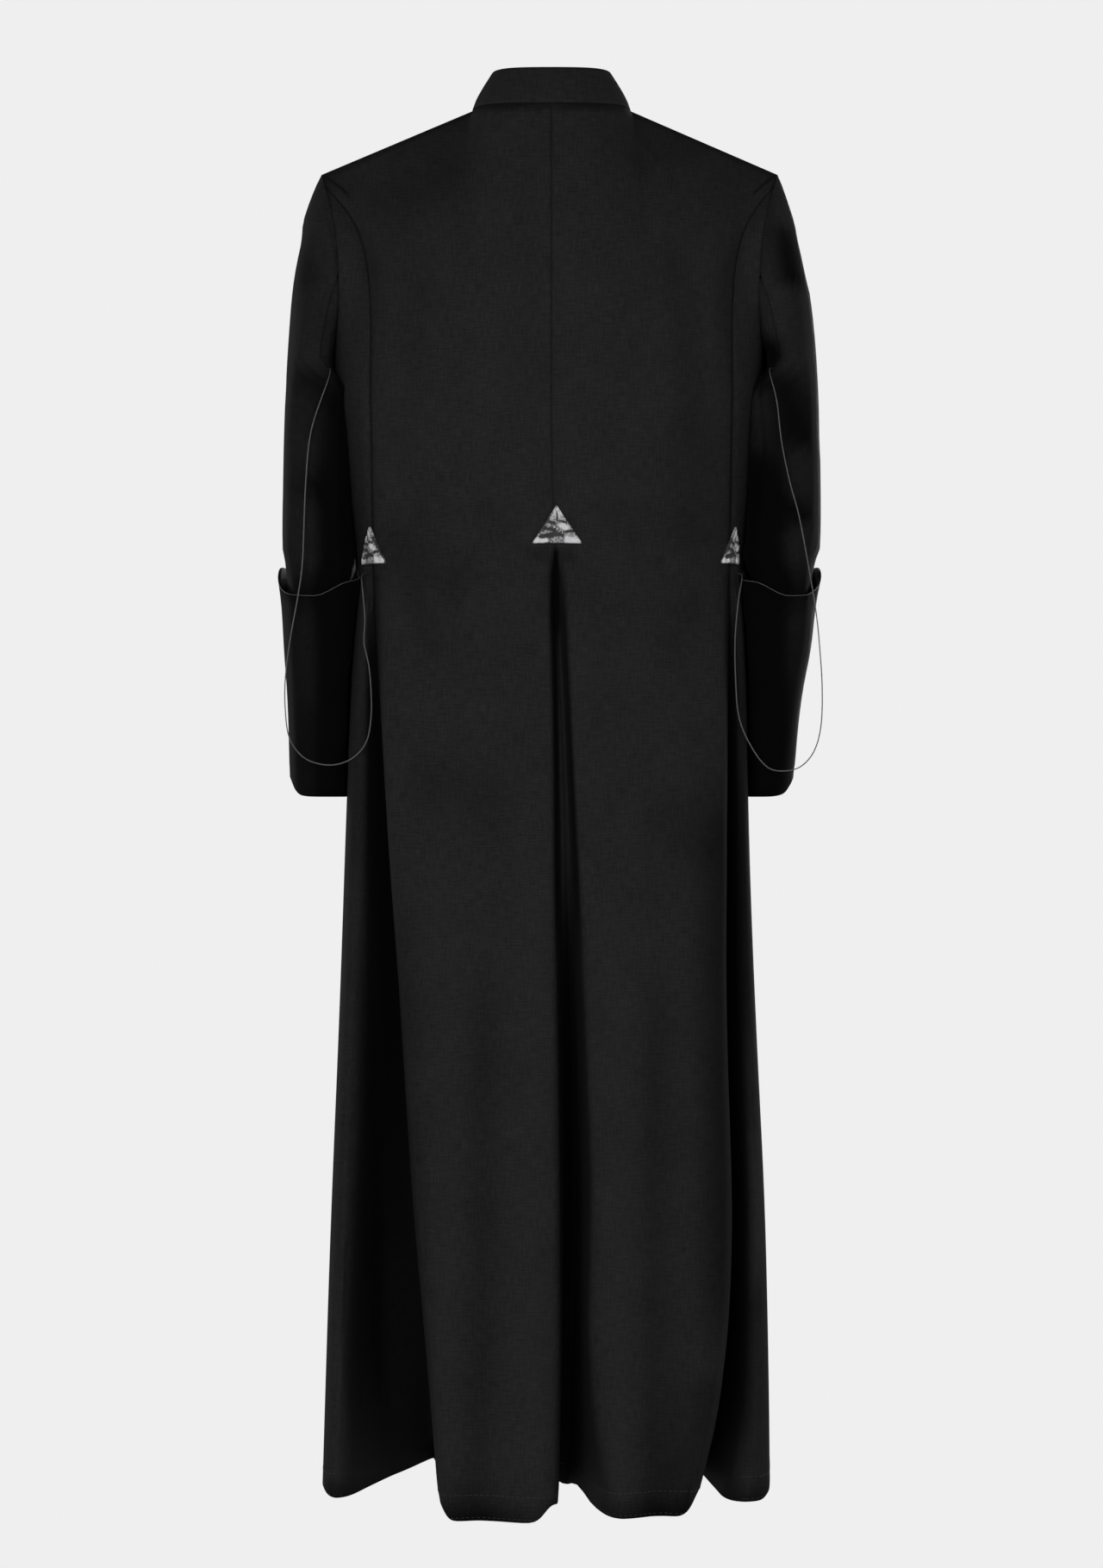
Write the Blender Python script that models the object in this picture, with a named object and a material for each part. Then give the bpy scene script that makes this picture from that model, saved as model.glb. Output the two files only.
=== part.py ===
"""A long black cassock with a pleated back skirt, filled out as it is worn.

Metres, +Z up. The back of the garment faces -Y and the wearer's right is +X.
The origin is the middle of the neck opening, level with the collar seam at the nape.
"""

import math
from collections import namedtuple

import bmesh
import bpy
import numpy as np
from mathutils import Vector

# Cloth and seams
CLOTH = 0.002
SEAM_GAP = 0.0003
HALF_GAP = SEAM_GAP / 2
UNDERLAP_DROP = CLOTH + 2 * SEAM_GAP

# Heights
HEM_Z = -1.393
WAIST_Z = -0.455
CHEST_Z = -0.300
SKIRT_ROWS = (WAIST_Z, -0.466, -0.51, -0.58, -0.67, -0.77, -0.88, -0.99, -1.10, -1.20, -1.30, HEM_Z)
BODICE_ROWS = (CHEST_Z, -0.375)
YOKE_STEPS = 5

# Body outline by height: half widths left and right of the middle, and reach to the back and to the front
Level = namedtuple("Level", "z left right back_left back_right front")
LEVELS = (
    Level(-0.300, 0.2215, 0.2150, 0.130, 0.130, 0.126),
    Level(-0.375, 0.2110, 0.2060, 0.124, 0.124, 0.121),
    Level(-0.455, 0.2010, 0.1985, 0.118, 0.118, 0.119),
    Level(-0.560, 0.2030, 0.1975, 0.133, 0.132, 0.132),
    Level(-0.690, 0.2075, 0.1990, 0.145, 0.143, 0.147),
    Level(-0.900, 0.2140, 0.2060, 0.155, 0.152, 0.166),
    Level(-1.110, 0.2220, 0.2155, 0.168, 0.163, 0.184),
    Level(-1.393, 0.2310, 0.2210, 0.204, 0.183, 0.212),
)

# Centre inverted pleat by height: where its two lips stand, its floor, its depth and the lips' rounding
CentrePleat = namedtuple("CentrePleat", "z lip_left lip_right root floor depth rounding")
CENTRE_PLEAT = (
    CentrePleat(-0.455, -0.003, 0.0110, 0.0040, 0.0020, 0.0005, 0.004),
    CentrePleat(-0.500, -0.003, 0.0115, 0.0045, 0.0025, 0.0120, 0.004),
    CentrePleat(-0.577, 0.000, 0.0150, 0.0080, 0.0040, 0.0160, 0.005),
    CentrePleat(-0.682, 0.002, 0.0215, 0.0120, 0.0045, 0.0200, 0.006),
    CentrePleat(-0.770, 0.002, 0.0280, 0.0140, 0.0050, 0.0260, 0.007),
    CentrePleat(-0.870, 0.005, 0.0315, 0.0160, 0.0060, 0.0450, 0.008),
    CentrePleat(-0.960, 0.007, 0.0350, 0.0180, 0.0060, 0.0800, 0.010),
    CentrePleat(-1.100, 0.009, 0.0400, 0.0200, 0.0060, 0.1120, 0.012),
    CentrePleat(-1.230, 0.010, 0.0330, 0.0180, 0.0050, 0.1400, 0.016),
    CentrePleat(-1.393, 0.007, 0.0560, 0.0105, 0.0040, 0.1620, 0.028),
)

# Side pleats by height: edge of the back panel, root on the side-back seam and tip of the side lobe
SidePleat = namedtuple("SidePleat", "z edge edge_y root root_y lobe lobe_y step")
LEFT_PLEAT = (
    SidePleat(-0.464, 0.171, -0.0745, 0.181, -0.0640, 0.187, -0.056, 0.0),
    SidePleat(-0.560, 0.171, -0.0980, 0.176, -0.0480, 0.186, -0.076, 0.0),
    SidePleat(-0.690, 0.165, -0.1150, 0.169, -0.0100, 0.186, -0.088, 0.0),
    SidePleat(-0.900, 0.150, -0.1300, 0.155, 0.0300, 0.190, -0.092, 0.0),
    SidePleat(-1.110, 0.136, -0.1450, 0.142, 0.0700, 0.196, -0.093, 0.7),
    SidePleat(-1.260, 0.120, -0.1680, 0.129, 0.0900, 0.200, -0.094, 1.0),
    SidePleat(-1.393, 0.107, -0.1920, 0.121, 0.1070, 0.203, -0.095, 0.2),
)
RIGHT_PLEAT = (
    SidePleat(-0.464, 0.172, -0.0730, 0.181, -0.0630, 0.187, -0.055, 0.0),
    SidePleat(-0.560, 0.174, -0.0950, 0.179, -0.0480, 0.187, -0.074, 0.0),
    SidePleat(-0.690, 0.175, -0.1100, 0.179, -0.0200, 0.187, -0.084, 0.0),
    SidePleat(-0.900, 0.173, -0.1240, 0.177, 0.0100, 0.190, -0.088, 0.0),
    SidePleat(-1.110, 0.180, -0.1340, 0.184, 0.0400, 0.196, -0.092, 0.0),
    SidePleat(-1.260, 0.172, -0.1500, 0.177, 0.0600, 0.196, -0.098, 0.0),
    SidePleat(-1.393, 0.138, -0.1720, 0.146, 0.0900, 0.174, -0.113, 0.0),
)

# Armhole seam, from the shoulder tip down the back, under the arm and up the front
ArmholePoint = namedtuple("ArmholePoint", "out y z")
ARMHOLE = (
    ArmholePoint(0.2360, 0.000, -0.058),
    ArmholePoint(0.2270, -0.040, -0.088),
    ArmholePoint(0.2190, -0.060, -0.122),
    ArmholePoint(0.2140, -0.070, -0.165),
    ArmholePoint(0.2145, -0.066, -0.208),
    ArmholePoint(0.2190, -0.042, -0.244),
    ArmholePoint(0.2225, 0.000, -0.262),
    ArmholePoint(0.2190, 0.036, -0.244),
    ArmholePoint(0.2150, 0.056, -0.208),
    ArmholePoint(0.2150, 0.058, -0.160),
    ArmholePoint(0.2240, 0.042, -0.105),
)
UNDERARM = 6
RIGHT_SHIFT = -0.0060
RIGHT_TIP_SHIFT = -0.0035

# Neckline, half of it from the nape to the centre front
NeckPoint = namedtuple("NeckPoint", "x y z")
NAPE = NeckPoint(0.0, -0.078, 0.0)
NECK_SIDE = NeckPoint(0.082, 0.0, 0.007)
NECK_FRONT = NeckPoint(0.0, 0.084, -0.050)

# Stand collar: height at the back and front, and how much its top is smaller than its base
COLLAR_BACK_HEIGHT = 0.0385
COLLAR_FRONT_HEIGHT = 0.0340
COLLAR_TOP_SCALE = 0.75
COLLAR_GAP = 0.0006
COLLAR_ROWS = 3

# Sleeves by height: outer and inner reach from the middle of the body, and reach to the back and front
SleeveLevel = namedtuple("SleeveLevel", "z outer inner back front")
LEFT_SLEEVE = (
    SleeveLevel(-0.058, 0.2370, 0.2245, -0.060, 0.050),
    SleeveLevel(-0.075, 0.2450, 0.2245, -0.072, 0.060),
    SleeveLevel(-0.120, 0.2575, 0.2245, -0.088, 0.080),
    SleeveLevel(-0.200, 0.2660, 0.2245, -0.092, 0.086),
    SleeveLevel(-0.300, 0.2715, 0.2245, -0.090, 0.090),
    SleeveLevel(-0.375, 0.2735, 0.2225, -0.083, 0.094),
    SleeveLevel(-0.455, 0.2755, 0.2190, -0.075, 0.098),
    SleeveLevel(-0.500, 0.2720, 0.2175, -0.067, 0.101),
    SleeveLevel(-0.570, 0.2670, 0.2165, -0.057, 0.107),
    SleeveLevel(-0.690, 0.2660, 0.2165, -0.043, 0.113),
)
RIGHT_SLEEVE = (
    SleeveLevel(-0.058, 0.2330, 0.2185, -0.060, 0.050),
    SleeveLevel(-0.075, 0.2390, 0.2185, -0.072, 0.060),
    SleeveLevel(-0.120, 0.2510, 0.2185, -0.088, 0.080),
    SleeveLevel(-0.200, 0.2665, 0.2185, -0.092, 0.086),
    SleeveLevel(-0.300, 0.2725, 0.2185, -0.090, 0.090),
    SleeveLevel(-0.375, 0.2745, 0.2160, -0.083, 0.094),
    SleeveLevel(-0.445, 0.2755, 0.2120, -0.075, 0.098),
    SleeveLevel(-0.500, 0.2690, 0.2090, -0.067, 0.101),
    SleeveLevel(-0.600, 0.2510, 0.2065, -0.053, 0.108),
    SleeveLevel(-0.690, 0.2455, 0.2065, -0.043, 0.113),
)
SLEEVE_STEPS = 11
SLEEVE_BLEND = 0.35
SLEEVE_SQUARENESS = 2.5

# Turned-back cuffs
CUFF_RIM_Z = -0.468
CUFF_RIM_DIP = 0.026
CUFF_BOTTOM_Z = -0.690
CUFF_STEPS = 4
CUFF_GAP_LOW = 0.0012
CUFF_GAP_HIGH = 0.0060

# Satin arrowheads over the heads of the pleats
ARROWHEAD_HALF_WIDTH = 0.026
ARROWHEAD_HEIGHT = 0.038
ARROWHEAD_THICKNESS = 0.0016
ARROWHEAD_LIFT = 0.0009
CENTRE_ARROW_BASE_Z = -0.4455
SIDE_ARROW_BASE_Z = -0.4610

# Covered buttons down the front
BUTTON_COUNT = 33
BUTTON_TOP_Z = -0.082
BUTTON_PITCH = 0.0385
BUTTON_RADIUS = 0.0065
BUTTON_HEIGHT = 0.0055
BUTTON_SEGMENTS = 8

# Cord loops: hand-chosen points of each route
CORD_RADIUS = 0.001
CORD_POINTS = 40
LEFT_CORD = (
    (-0.2268, -0.0754, -0.2680), (-0.2213, -0.0817, -0.2720), (-0.2390, -0.0900, -0.3280),
    (-0.2450, -0.0870, -0.3800), (-0.2485, -0.0830, -0.4570), (-0.2530, -0.0810, -0.4920),
    (-0.2615, -0.0760, -0.5370), (-0.2665, -0.0720, -0.5740), (-0.2670, -0.0700, -0.6050),
    (-0.2630, -0.0700, -0.6350), (-0.2500, -0.0710, -0.6540), (-0.2315, -0.0760, -0.6620),
    (-0.2125, -0.0830, -0.6620), (-0.1955, -0.0900, -0.6540), (-0.1840, -0.0930, -0.6390),
    (-0.1795, -0.0960, -0.6160), (-0.1795, -0.0940, -0.5910), (-0.1820, -0.0900, -0.5640),
    (-0.1870, -0.0860, -0.5410), (-0.1865, -0.0800, -0.5180), (-0.1885, -0.0780, -0.4920),
    (-0.1903, -0.0670, -0.4734), (-0.1838, -0.0616, -0.4700),
)
RIGHT_CORD = (
    (0.2229, -0.0761, -0.2660), (0.2179, -0.0829, -0.2699), (0.2250, -0.0830, -0.3000),
    (0.2295, -0.0860, -0.3400), (0.2375, -0.0870, -0.3800), (0.2475, -0.0850, -0.4170),
    (0.2595, -0.0810, -0.4800), (0.2650, -0.0790, -0.5140), (0.2685, -0.0760, -0.5470),
    (0.2710, -0.0740, -0.5850), (0.2700, -0.0730, -0.6230), (0.2630, -0.0730, -0.6490),
    (0.2495, -0.0740, -0.6645), (0.2320, -0.0770, -0.6690), (0.2155, -0.0810, -0.6650),
    (0.2000, -0.0860, -0.6460), (0.1870, -0.0890, -0.6160), (0.1835, -0.0870, -0.5750),
    (0.1835, -0.0820, -0.5350), (0.1870, -0.0775, -0.4980), (0.1913, -0.0649, -0.4733),
    (0.1848, -0.0595, -0.4700),
)

# Columns of one half of the body, from the centre-back seam round to the front edge
BACK_SPANS = 21
SIDE_SPANS = 15
FRONT_SPANS = 18
EDGE_DISTANCES = (0.0200, 0.0112, 0.0)
NECK_COLUMN = 11
TIP_COLUMN = 18
SIDE_BACK_SEAM = BACK_SPANS
SIDE_SEAM = BACK_SPANS + SIDE_SPANS
FRONT_TIP_COLUMN = SIDE_SEAM + 8
FRONT_NECK_COLUMN = FRONT_TIP_COLUMN + TIP_COLUMN - NECK_COLUMN
LEFT_LAP = 0.010
RIGHT_LAP = 0.014
UNDERLAP_COLUMNS = 3
OVAL_POWER_CHEST = 3.0
OVAL_POWER_WAIST = 2.4
FLANK_BIAS = 1.5
FRONT_BIAS = 0.8
SLEEVE_COLUMNS = FRONT_TIP_COLUMN - TIP_COLUMN
UNDERARM_COLUMN = SIDE_SEAM - TIP_COLUMN
HIND_SEAM = UNDERARM_COLUMN // 2 + 1
FORE_SEAM = (UNDERARM_COLUMN + SLEEVE_COLUMNS) // 2 - 1


def read(table, column, z):
    """Value of a table's column at height z, on a smooth curve that never overshoots its rows."""
    heights = [row.z for row in table]
    values = [getattr(row, column) for row in table]
    if z >= heights[0]:
        return values[0]
    if z <= heights[-1]:
        return values[-1]
    rises = [(values[i + 1] - values[i]) / (heights[i + 1] - heights[i]) for i in range(len(table) - 1)]
    slopes = [rises[0]]
    for before, after in zip(rises, rises[1:]):
        same_way = before * after > 0
        slopes.append(2 * before * after / (before + after) if same_way else 0.0)
    slopes.append(rises[-1])
    i = next(k for k in range(len(table) - 1) if z >= heights[k + 1])
    span = heights[i + 1] - heights[i]
    t = (z - heights[i]) / span
    keep = 2 * t**3 - 3 * t**2 + 1
    return (keep * values[i] + (1 - keep) * values[i + 1]
            + (t**3 - 2 * t**2 + t) * span * slopes[i] + (t**3 - t**2) * span * slopes[i + 1])


def smooth_step(low, high, value):
    """0 below low, 1 above high and a smooth rise between."""
    t = min(1.0, max(0.0, (value - low) / (high - low)))
    return t * t * (3 - 2 * t)


def rounded(corners):
    """Points along a polygon whose corners are cut to soft bends.

    Each corner is (x, y, cut, spans); the first and the last are plain ends.
    """
    points = [corners[0][:2]]
    for before, corner, after in zip(corners, corners[1:], corners[2:]):
        here = Vector(corner[:2])
        back = Vector(before[:2]) - here
        ahead = Vector(after[:2]) - here
        enter = here + back.normalized() * min(corner[2], 0.42 * back.length)
        leave = here + ahead.normalized() * min(corner[2], 0.42 * ahead.length)
        for k in range(corner[3] + 1):
            t = k / corner[3]
            points.append(tuple(enter * (1 - t) ** 2 + here * 2 * t * (1 - t) + leave * t**2))
    points.append(corners[-1][:2])
    return points


def skirt_half(side, z):
    """Outline of one half of the skirt at height z, from the pleat's floor to the centre front."""
    name = "left" if side < 0 else "right"
    pleat = LEFT_PLEAT if side < 0 else RIGHT_PLEAT
    width = read(LEVELS, name, z)
    back = read(LEVELS, "back_" + name, z)
    front = read(LEVELS, "front", z)
    floor_y = read(CENTRE_PLEAT, "depth", z) - read(LEVELS, "back_left", z)
    floor_x = read(CENTRE_PLEAT, "root", z)
    lip = read(CENTRE_PLEAT, "lip_" + name, z) * side
    edge, edge_y = read(pleat, "edge", z), read(pleat, "edge_y", z)
    root, root_y = read(pleat, "root", z), read(pleat, "root_y", z)
    lobe, lobe_y = read(pleat, "lobe", z), read(pleat, "lobe_y", z)
    opened = smooth_step(-WAIST_Z, 0.60, -z)
    step = read(pleat, "step", z)
    low = smooth_step(0.70, 1.35, -z)
    soft = 1.0
    sag = back + edge_y

    def on_panel(share, wave):
        return (lip + (edge - lip) * share, -back + sag * share**3 + wave * low, soft, 1)

    def on_lobe(across, along):
        return (root + (lobe - root) * across, root_y + (lobe_y - root_y) * along, soft, 1)

    corners = [
        (floor_x * side, floor_y, 0, 0),
        (floor_x * side + read(CENTRE_PLEAT, "floor", z), floor_y, 0.003, 2),
        (lip, -back, read(CENTRE_PLEAT, "rounding", z), 3),
        on_panel(0.30, -0.004),
        on_panel(0.60, 0.008),
        on_panel(0.84, -0.004),
        (edge, edge_y, 0.008 + 0.016 * low, 4),
        (root, root_y, 0.006, 4),
        on_lobe(0.15 + 0.18 * opened - 0.03 * step, 0.15 + 0.18 * opened - 0.20 * step),
        on_lobe(0.34 + 0.32 * opened + 0.16 * step, 0.34 + 0.32 * opened - 0.30 * step),
        (lobe, lobe_y, soft, 2),
        (lobe + (width - lobe) * (0.45 + 0.35 * opened), lobe_y + 0.012 - 0.008 * opened, soft, 2),
        (width, lobe_y + 0.045, soft, 1),
        (width, 0.055, soft, 4),
        (width * 0.93, front * 0.66, soft, 4),
        (width * 0.72, front * 0.93, soft, 4),
        (width * 0.36, front, soft, 1),
        (EDGE_DISTANCES[0], front, 0, 0),
    ]
    points = rounded(corners)
    flank = points[SIDE_SEAM - 1], points[SIDE_SEAM]
    seam = tuple((a + b) / 2 for a, b in zip(*flank))
    points.insert(SIDE_SEAM, seam)
    points += [(distance, front) for distance in EDGE_DISTANCES[1:]]
    points.append((-LEFT_LAP if side < 0 else -RIGHT_LAP, front))
    return np.array([(x * side, y, z) for x, y in points])


def spaced(curve, spans, start=0.0, end=1.0, bias=1.0):
    """Points at even steps of length along a stretch of a dense curve; a bias over 1 draws them to its start."""
    curve = np.asarray(curve)
    lengths = np.concatenate([[0], np.cumsum(np.linalg.norm(np.diff(curve, axis=0), axis=1))])
    wanted = (start + (end - start) * np.linspace(0, 1, spans + 1) ** bias) * lengths[-1]
    return np.stack([np.interp(wanted, lengths, curve[:, k]) for k in range(curve.shape[1])], axis=1)


def oval_half(side, z):
    """Plain outline of one half of the bodice at height z, with the skirt's columns spread evenly."""
    name = "left" if side < 0 else "right"
    pleat = LEFT_PLEAT if side < 0 else RIGHT_PLEAT
    width = read(LEVELS, name, z)
    back = read(LEVELS, "back_" + name, z)
    front = read(LEVELS, "front", z)
    power = 2 / np.interp(z, (WAIST_Z, CHEST_Z), (OVAL_POWER_WAIST, OVAL_POWER_CHEST))
    angles = np.linspace(0, math.pi / 2, 241)
    across = width * np.sin(angles) ** power
    along = np.cos(angles) ** power
    behind = np.stack([across, -back * along], axis=1)
    ahead = np.stack([across, front * along], axis=1)[::-1]
    ahead = ahead[ahead[:, 0] >= EDGE_DISTANCES[0]]
    seam = pleat[0].root
    panel = behind[behind[:, 0] <= seam]
    flank = behind[behind[:, 0] >= panel[-1, 0]]
    points = np.concatenate([
        spaced(panel, BACK_SPANS), spaced(flank, SIDE_SPANS, bias=FLANK_BIAS)[1:],
        spaced(ahead, FRONT_SPANS, bias=FRONT_BIAS)[1:],
        [(distance, front) for distance in EDGE_DISTANCES[1:]],
        [(-LEFT_LAP if side < 0 else -RIGHT_LAP, front)]])
    return np.column_stack([points[:, 0] * side, points[:, 1], np.full(len(points), z)])


def through(points, samples, closed=False):
    """Dense smooth curve that passes through every point."""
    points = [Vector(p) for p in points]
    count = len(points)
    spans = count if closed else count - 1

    def pick(index):
        if closed:
            return points[index % count]
        if index < 0:
            return points[0] * 2 - points[1]
        if index >= count:
            return points[-1] * 2 - points[-2]
        return points[index]

    curve = []
    for i in range(spans):
        p0, p1, p2, p3 = pick(i - 1), pick(i), pick(i + 1), pick(i + 2)
        for k in range(samples):
            t = k / samples
            curve.append((p1 * 2 + (p2 - p0) * t + (p0 * 2 - p1 * 5 + p2 * 4 - p3) * t**2
                          + (p1 * 3 - p0 - p2 * 3 + p3) * t**3) / 2)
    curve.append(pick(spans))
    return np.array(curve)


def armhole(side):
    """Closed dense curve of one armhole, from the shoulder tip by the back, and the index under the arm."""
    points = []
    for index, point in enumerate(ARMHOLE):
        shift = 0.0
        if side > 0:
            near_tip = max(0.0, 1 + point.z / 0.3)
            shift = RIGHT_SHIFT + (RIGHT_TIP_SHIFT - RIGHT_SHIFT) * near_tip
        points.append(((point.out + shift) * side, point.y, point.z))
    samples = 24
    return through(points, samples, closed=True), UNDERARM * samples


def neckline(side):
    """Dense half curves of the neckline: nape to the side of the neck, and on to the centre front."""
    angles = np.linspace(0, math.pi / 2, 61)
    lift = NECK_SIDE.z
    back = np.stack([NECK_SIDE.x * np.sin(angles) * side, NAPE.y * np.cos(angles),
                     lift * np.sin(angles) ** 2], axis=1)
    front = np.stack([NECK_SIDE.x * np.cos(angles) * side, NECK_FRONT.y * np.sin(angles),
                      lift + (NECK_FRONT.z - lift) * np.sin(angles) ** 1.4], axis=1)
    return back, front


def top_edge(side):
    """Top point of every column: neckline, shoulder seam and armhole."""
    ring, under = armhole(side)
    tip = ring[0]
    neck_back, neck_front = neckline(side)
    shoulder = np.linspace(neck_back[-1], tip, TIP_COLUMN - NECK_COLUMN + 1)
    behind = ring[:under + 1]
    ahead = ring[under:]
    seam_share = 0.13
    points = np.concatenate([
        spaced(neck_back, NECK_COLUMN), shoulder[1:],
        spaced(behind, BACK_SPANS - TIP_COLUMN, 0, seam_share)[1:],
        spaced(behind, SIDE_SPANS, seam_share, 1)[1:],
        spaced(ahead, FRONT_TIP_COLUMN - SIDE_SEAM)[1:],
        shoulder[::-1][1:]])
    rest = BACK_SPANS + SIDE_SPANS + FRONT_SPANS - FRONT_NECK_COLUMN
    reach = neck_front[abs(neck_front[:, 0]) >= EDGE_DISTANCES[0]]
    points = np.concatenate([points, spaced(reach, rest)[1:]])
    last = points[-1]
    for distance in EDGE_DISTANCES[1:] + (-LEFT_LAP if side < 0 else -RIGHT_LAP,):
        share = 1 - abs(distance) / EDGE_DISTANCES[0]
        y = last[1] + (NECK_FRONT.y - last[1]) * share
        z = last[2] + (NECK_FRONT.z - last[2]) * share
        points = np.concatenate([points, [(distance * side, y, z)]])
    return points


def column_value(column, neck, tip, seam, under, front_tip):
    """A value spread smoothly over the columns from its amounts at the nape, shoulder tip, seams and front."""
    places = (0, TIP_COLUMN, SIDE_BACK_SEAM, SIDE_SEAM, FRONT_TIP_COLUMN, BACK_SPANS + SIDE_SPANS + FRONT_SPANS)
    return float(np.interp(column, places, (neck, tip, seam, under, front_tip, neck)))


def body_half(side):
    """Outer surface of one half of the body: rows from the top edge to the hem, columns from back to front."""
    chest = oval_half(side, CHEST_Z)
    top = top_edge(side)
    rows = []
    for step in range(YOKE_STEPS, 0, -1):
        share = step / YOKE_STEPS
        row = []
        for column, (low, high) in enumerate(zip(chest, top)):
            angle = math.radians(column_value(column, 50, 76, 70, 60, 76))
            bend = column_value(column, 1.0, 1.0, 0.6, 0.0, 1.0)
            late = column_value(column, 1.0, 2.6, 4.0, 1.0, 2.6)
            rise = math.sin(angle * share) / math.sin(angle)
            inward = (1 - math.cos(angle * share)) / (1 - math.cos(angle))
            row.append((low[0] + (high[0] - low[0]) * share**late,
                        low[1] + (high[1] - low[1]) * (share + (inward - share) * bend),
                        low[2] + (high[2] - low[2]) * (share + (rise - share) * bend)))
        rows.append(np.array(row))
    rows += [oval_half(side, z) for z in BODICE_ROWS]
    rows += [skirt_half(side, z) for z in SKIRT_ROWS]
    return np.array(rows)


def directions(grid, axis):
    """Direction of a grid's lines at every point: the mean of the ways in and out."""
    steps = unit(np.diff(grid, axis=axis))
    first, last = np.take(steps, [0], axis=axis), np.take(steps, [-1], axis=axis)
    return np.concatenate([first, steps], axis=axis) + np.concatenate([steps, last], axis=axis)


def inward_normals(grid, inside):
    """Unit normals of a grid of points, turned towards the hollow: inside is -1 or 1."""
    normals = np.cross(directions(grid, 1), directions(grid, 0)) * inside
    return unit(normals)


def body_walls(side):
    """Outer and inner points of one half of the body."""
    outer = body_half(side)
    normals = inward_normals(outer, side)
    for step in range(TIP_COLUMN - NECK_COLUMN + 1):
        behind = normals[0, NECK_COLUMN + step]
        ahead = normals[0, FRONT_NECK_COLUMN - step]
        shared = behind + ahead
        shared = shared / np.linalg.norm(shared)
        shared = shared / max(0.75, float(shared @ behind))
        normals[0, NECK_COLUMN + step] = shared
        normals[0, FRONT_NECK_COLUMN - step] = shared
    arm = normals[0, TIP_COLUMN:FRONT_TIP_COLUMN + 1]
    arm[:, 0] = side * np.minimum(side * arm[:, 0], 0.0)
    arm /= np.linalg.norm(arm, axis=1, keepdims=True)
    if side > 0:
        outer[:, -UNDERLAP_COLUMNS:] += normals[:, -UNDERLAP_COLUMNS:] * UNDERLAP_DROP
    return outer, outer + normals * CLOTH, normals


def unit(vectors):
    """Vectors of length one along the last axis."""
    return vectors / np.maximum(np.linalg.norm(vectors, axis=-1, keepdims=True), 1e-12)


def build_strip(name, outer, inner, ways, material, top_gap=False):
    """A wall whose side edges, and its top edge where asked, stand half a seam gap back from the seam."""
    outer, inner = outer.copy(), inner.copy()
    for grid in (outer, inner):
        if top_gap:
            grid[0] += unit(outer[1] - outer[0]) * HALF_GAP
        grid[:, 0] += ways[0] * HALF_GAP
        grid[:, -1] -= ways[1] * HALF_GAP
    return build_wall(name, outer, inner, material)


def build_wall(name, outer, inner, material, closed=False):
    """One closed wall of cloth between a grid of outer points and a grid of inner points."""
    rows, columns = outer.shape[:2]
    mesh = bmesh.new()
    front = [[mesh.verts.new(point) for point in row] for row in outer]
    rear = [[mesh.verts.new(point) for point in row] for row in inner]
    spans = columns if closed else columns - 1
    for r in range(rows - 1):
        for c in range(spans):
            d = (c + 1) % columns
            mesh.faces.new((front[r][c], front[r][d], front[r + 1][d], front[r + 1][c]))
            mesh.faces.new((rear[r][c], rear[r + 1][c], rear[r + 1][d], rear[r][d]))
    for r in (0, rows - 1):
        for c in range(spans):
            d = (c + 1) % columns
            mesh.faces.new((front[r][c], rear[r][c], rear[r][d], front[r][d]))
    if not closed:
        for c in (0, columns - 1):
            for r in range(rows - 1):
                mesh.faces.new((front[r][c], front[r + 1][c], rear[r + 1][c], rear[r][c]))
    bmesh.ops.recalc_face_normals(mesh, faces=mesh.faces)
    return place(name, mesh, material)


def place(name, mesh, material):
    """Turn a finished bmesh into a named object with its material."""
    data = bpy.data.meshes.new(name)
    mesh.to_mesh(data)
    mesh.free()
    data.shade_smooth()
    data.set_sharp_from_angle(angle=math.radians(50))
    data.materials.append(material)
    piece = bpy.data.objects.new(name, data)
    bpy.context.collection.objects.link(piece)
    return piece


def finish(name, colour, roughness, metallic=0.0):
    """A plain material of one colour."""
    material = bpy.data.materials.new(name)
    material.use_nodes = True
    shader = material.node_tree.nodes["Principled BSDF"]
    shader.inputs["Base Color"].default_value = (*colour, 1.0)
    shader.inputs["Roughness"].default_value = roughness
    shader.inputs["Metallic"].default_value = metallic
    return material


def build_body(side, walls, wool):
    """The back, side-back and front panels of one side."""
    name = "left" if side < 0 else "right"
    panels = {
        "back_": (0, SIDE_BACK_SEAM),
        "side_": (SIDE_BACK_SEAM, SIDE_SEAM),
        "front_": (SIDE_SEAM, walls[0].shape[1] - 1),
    }
    along = unit(np.gradient(walls[0], axis=1))
    for panel, (first, last) in panels.items():
        columns = slice(first, last + 1)
        ways = along[:, first], along[:, last]
        build_strip(panel + name, walls[0][:, columns], walls[1][:, columns], ways, wool, top_gap=True)


def neck_columns(grid):
    """One half's neckline values, from the nape to the centre front."""
    front = grid[FRONT_NECK_COLUMN + 1:-1]
    return np.concatenate([grid[:NECK_COLUMN + 1], front])


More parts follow.
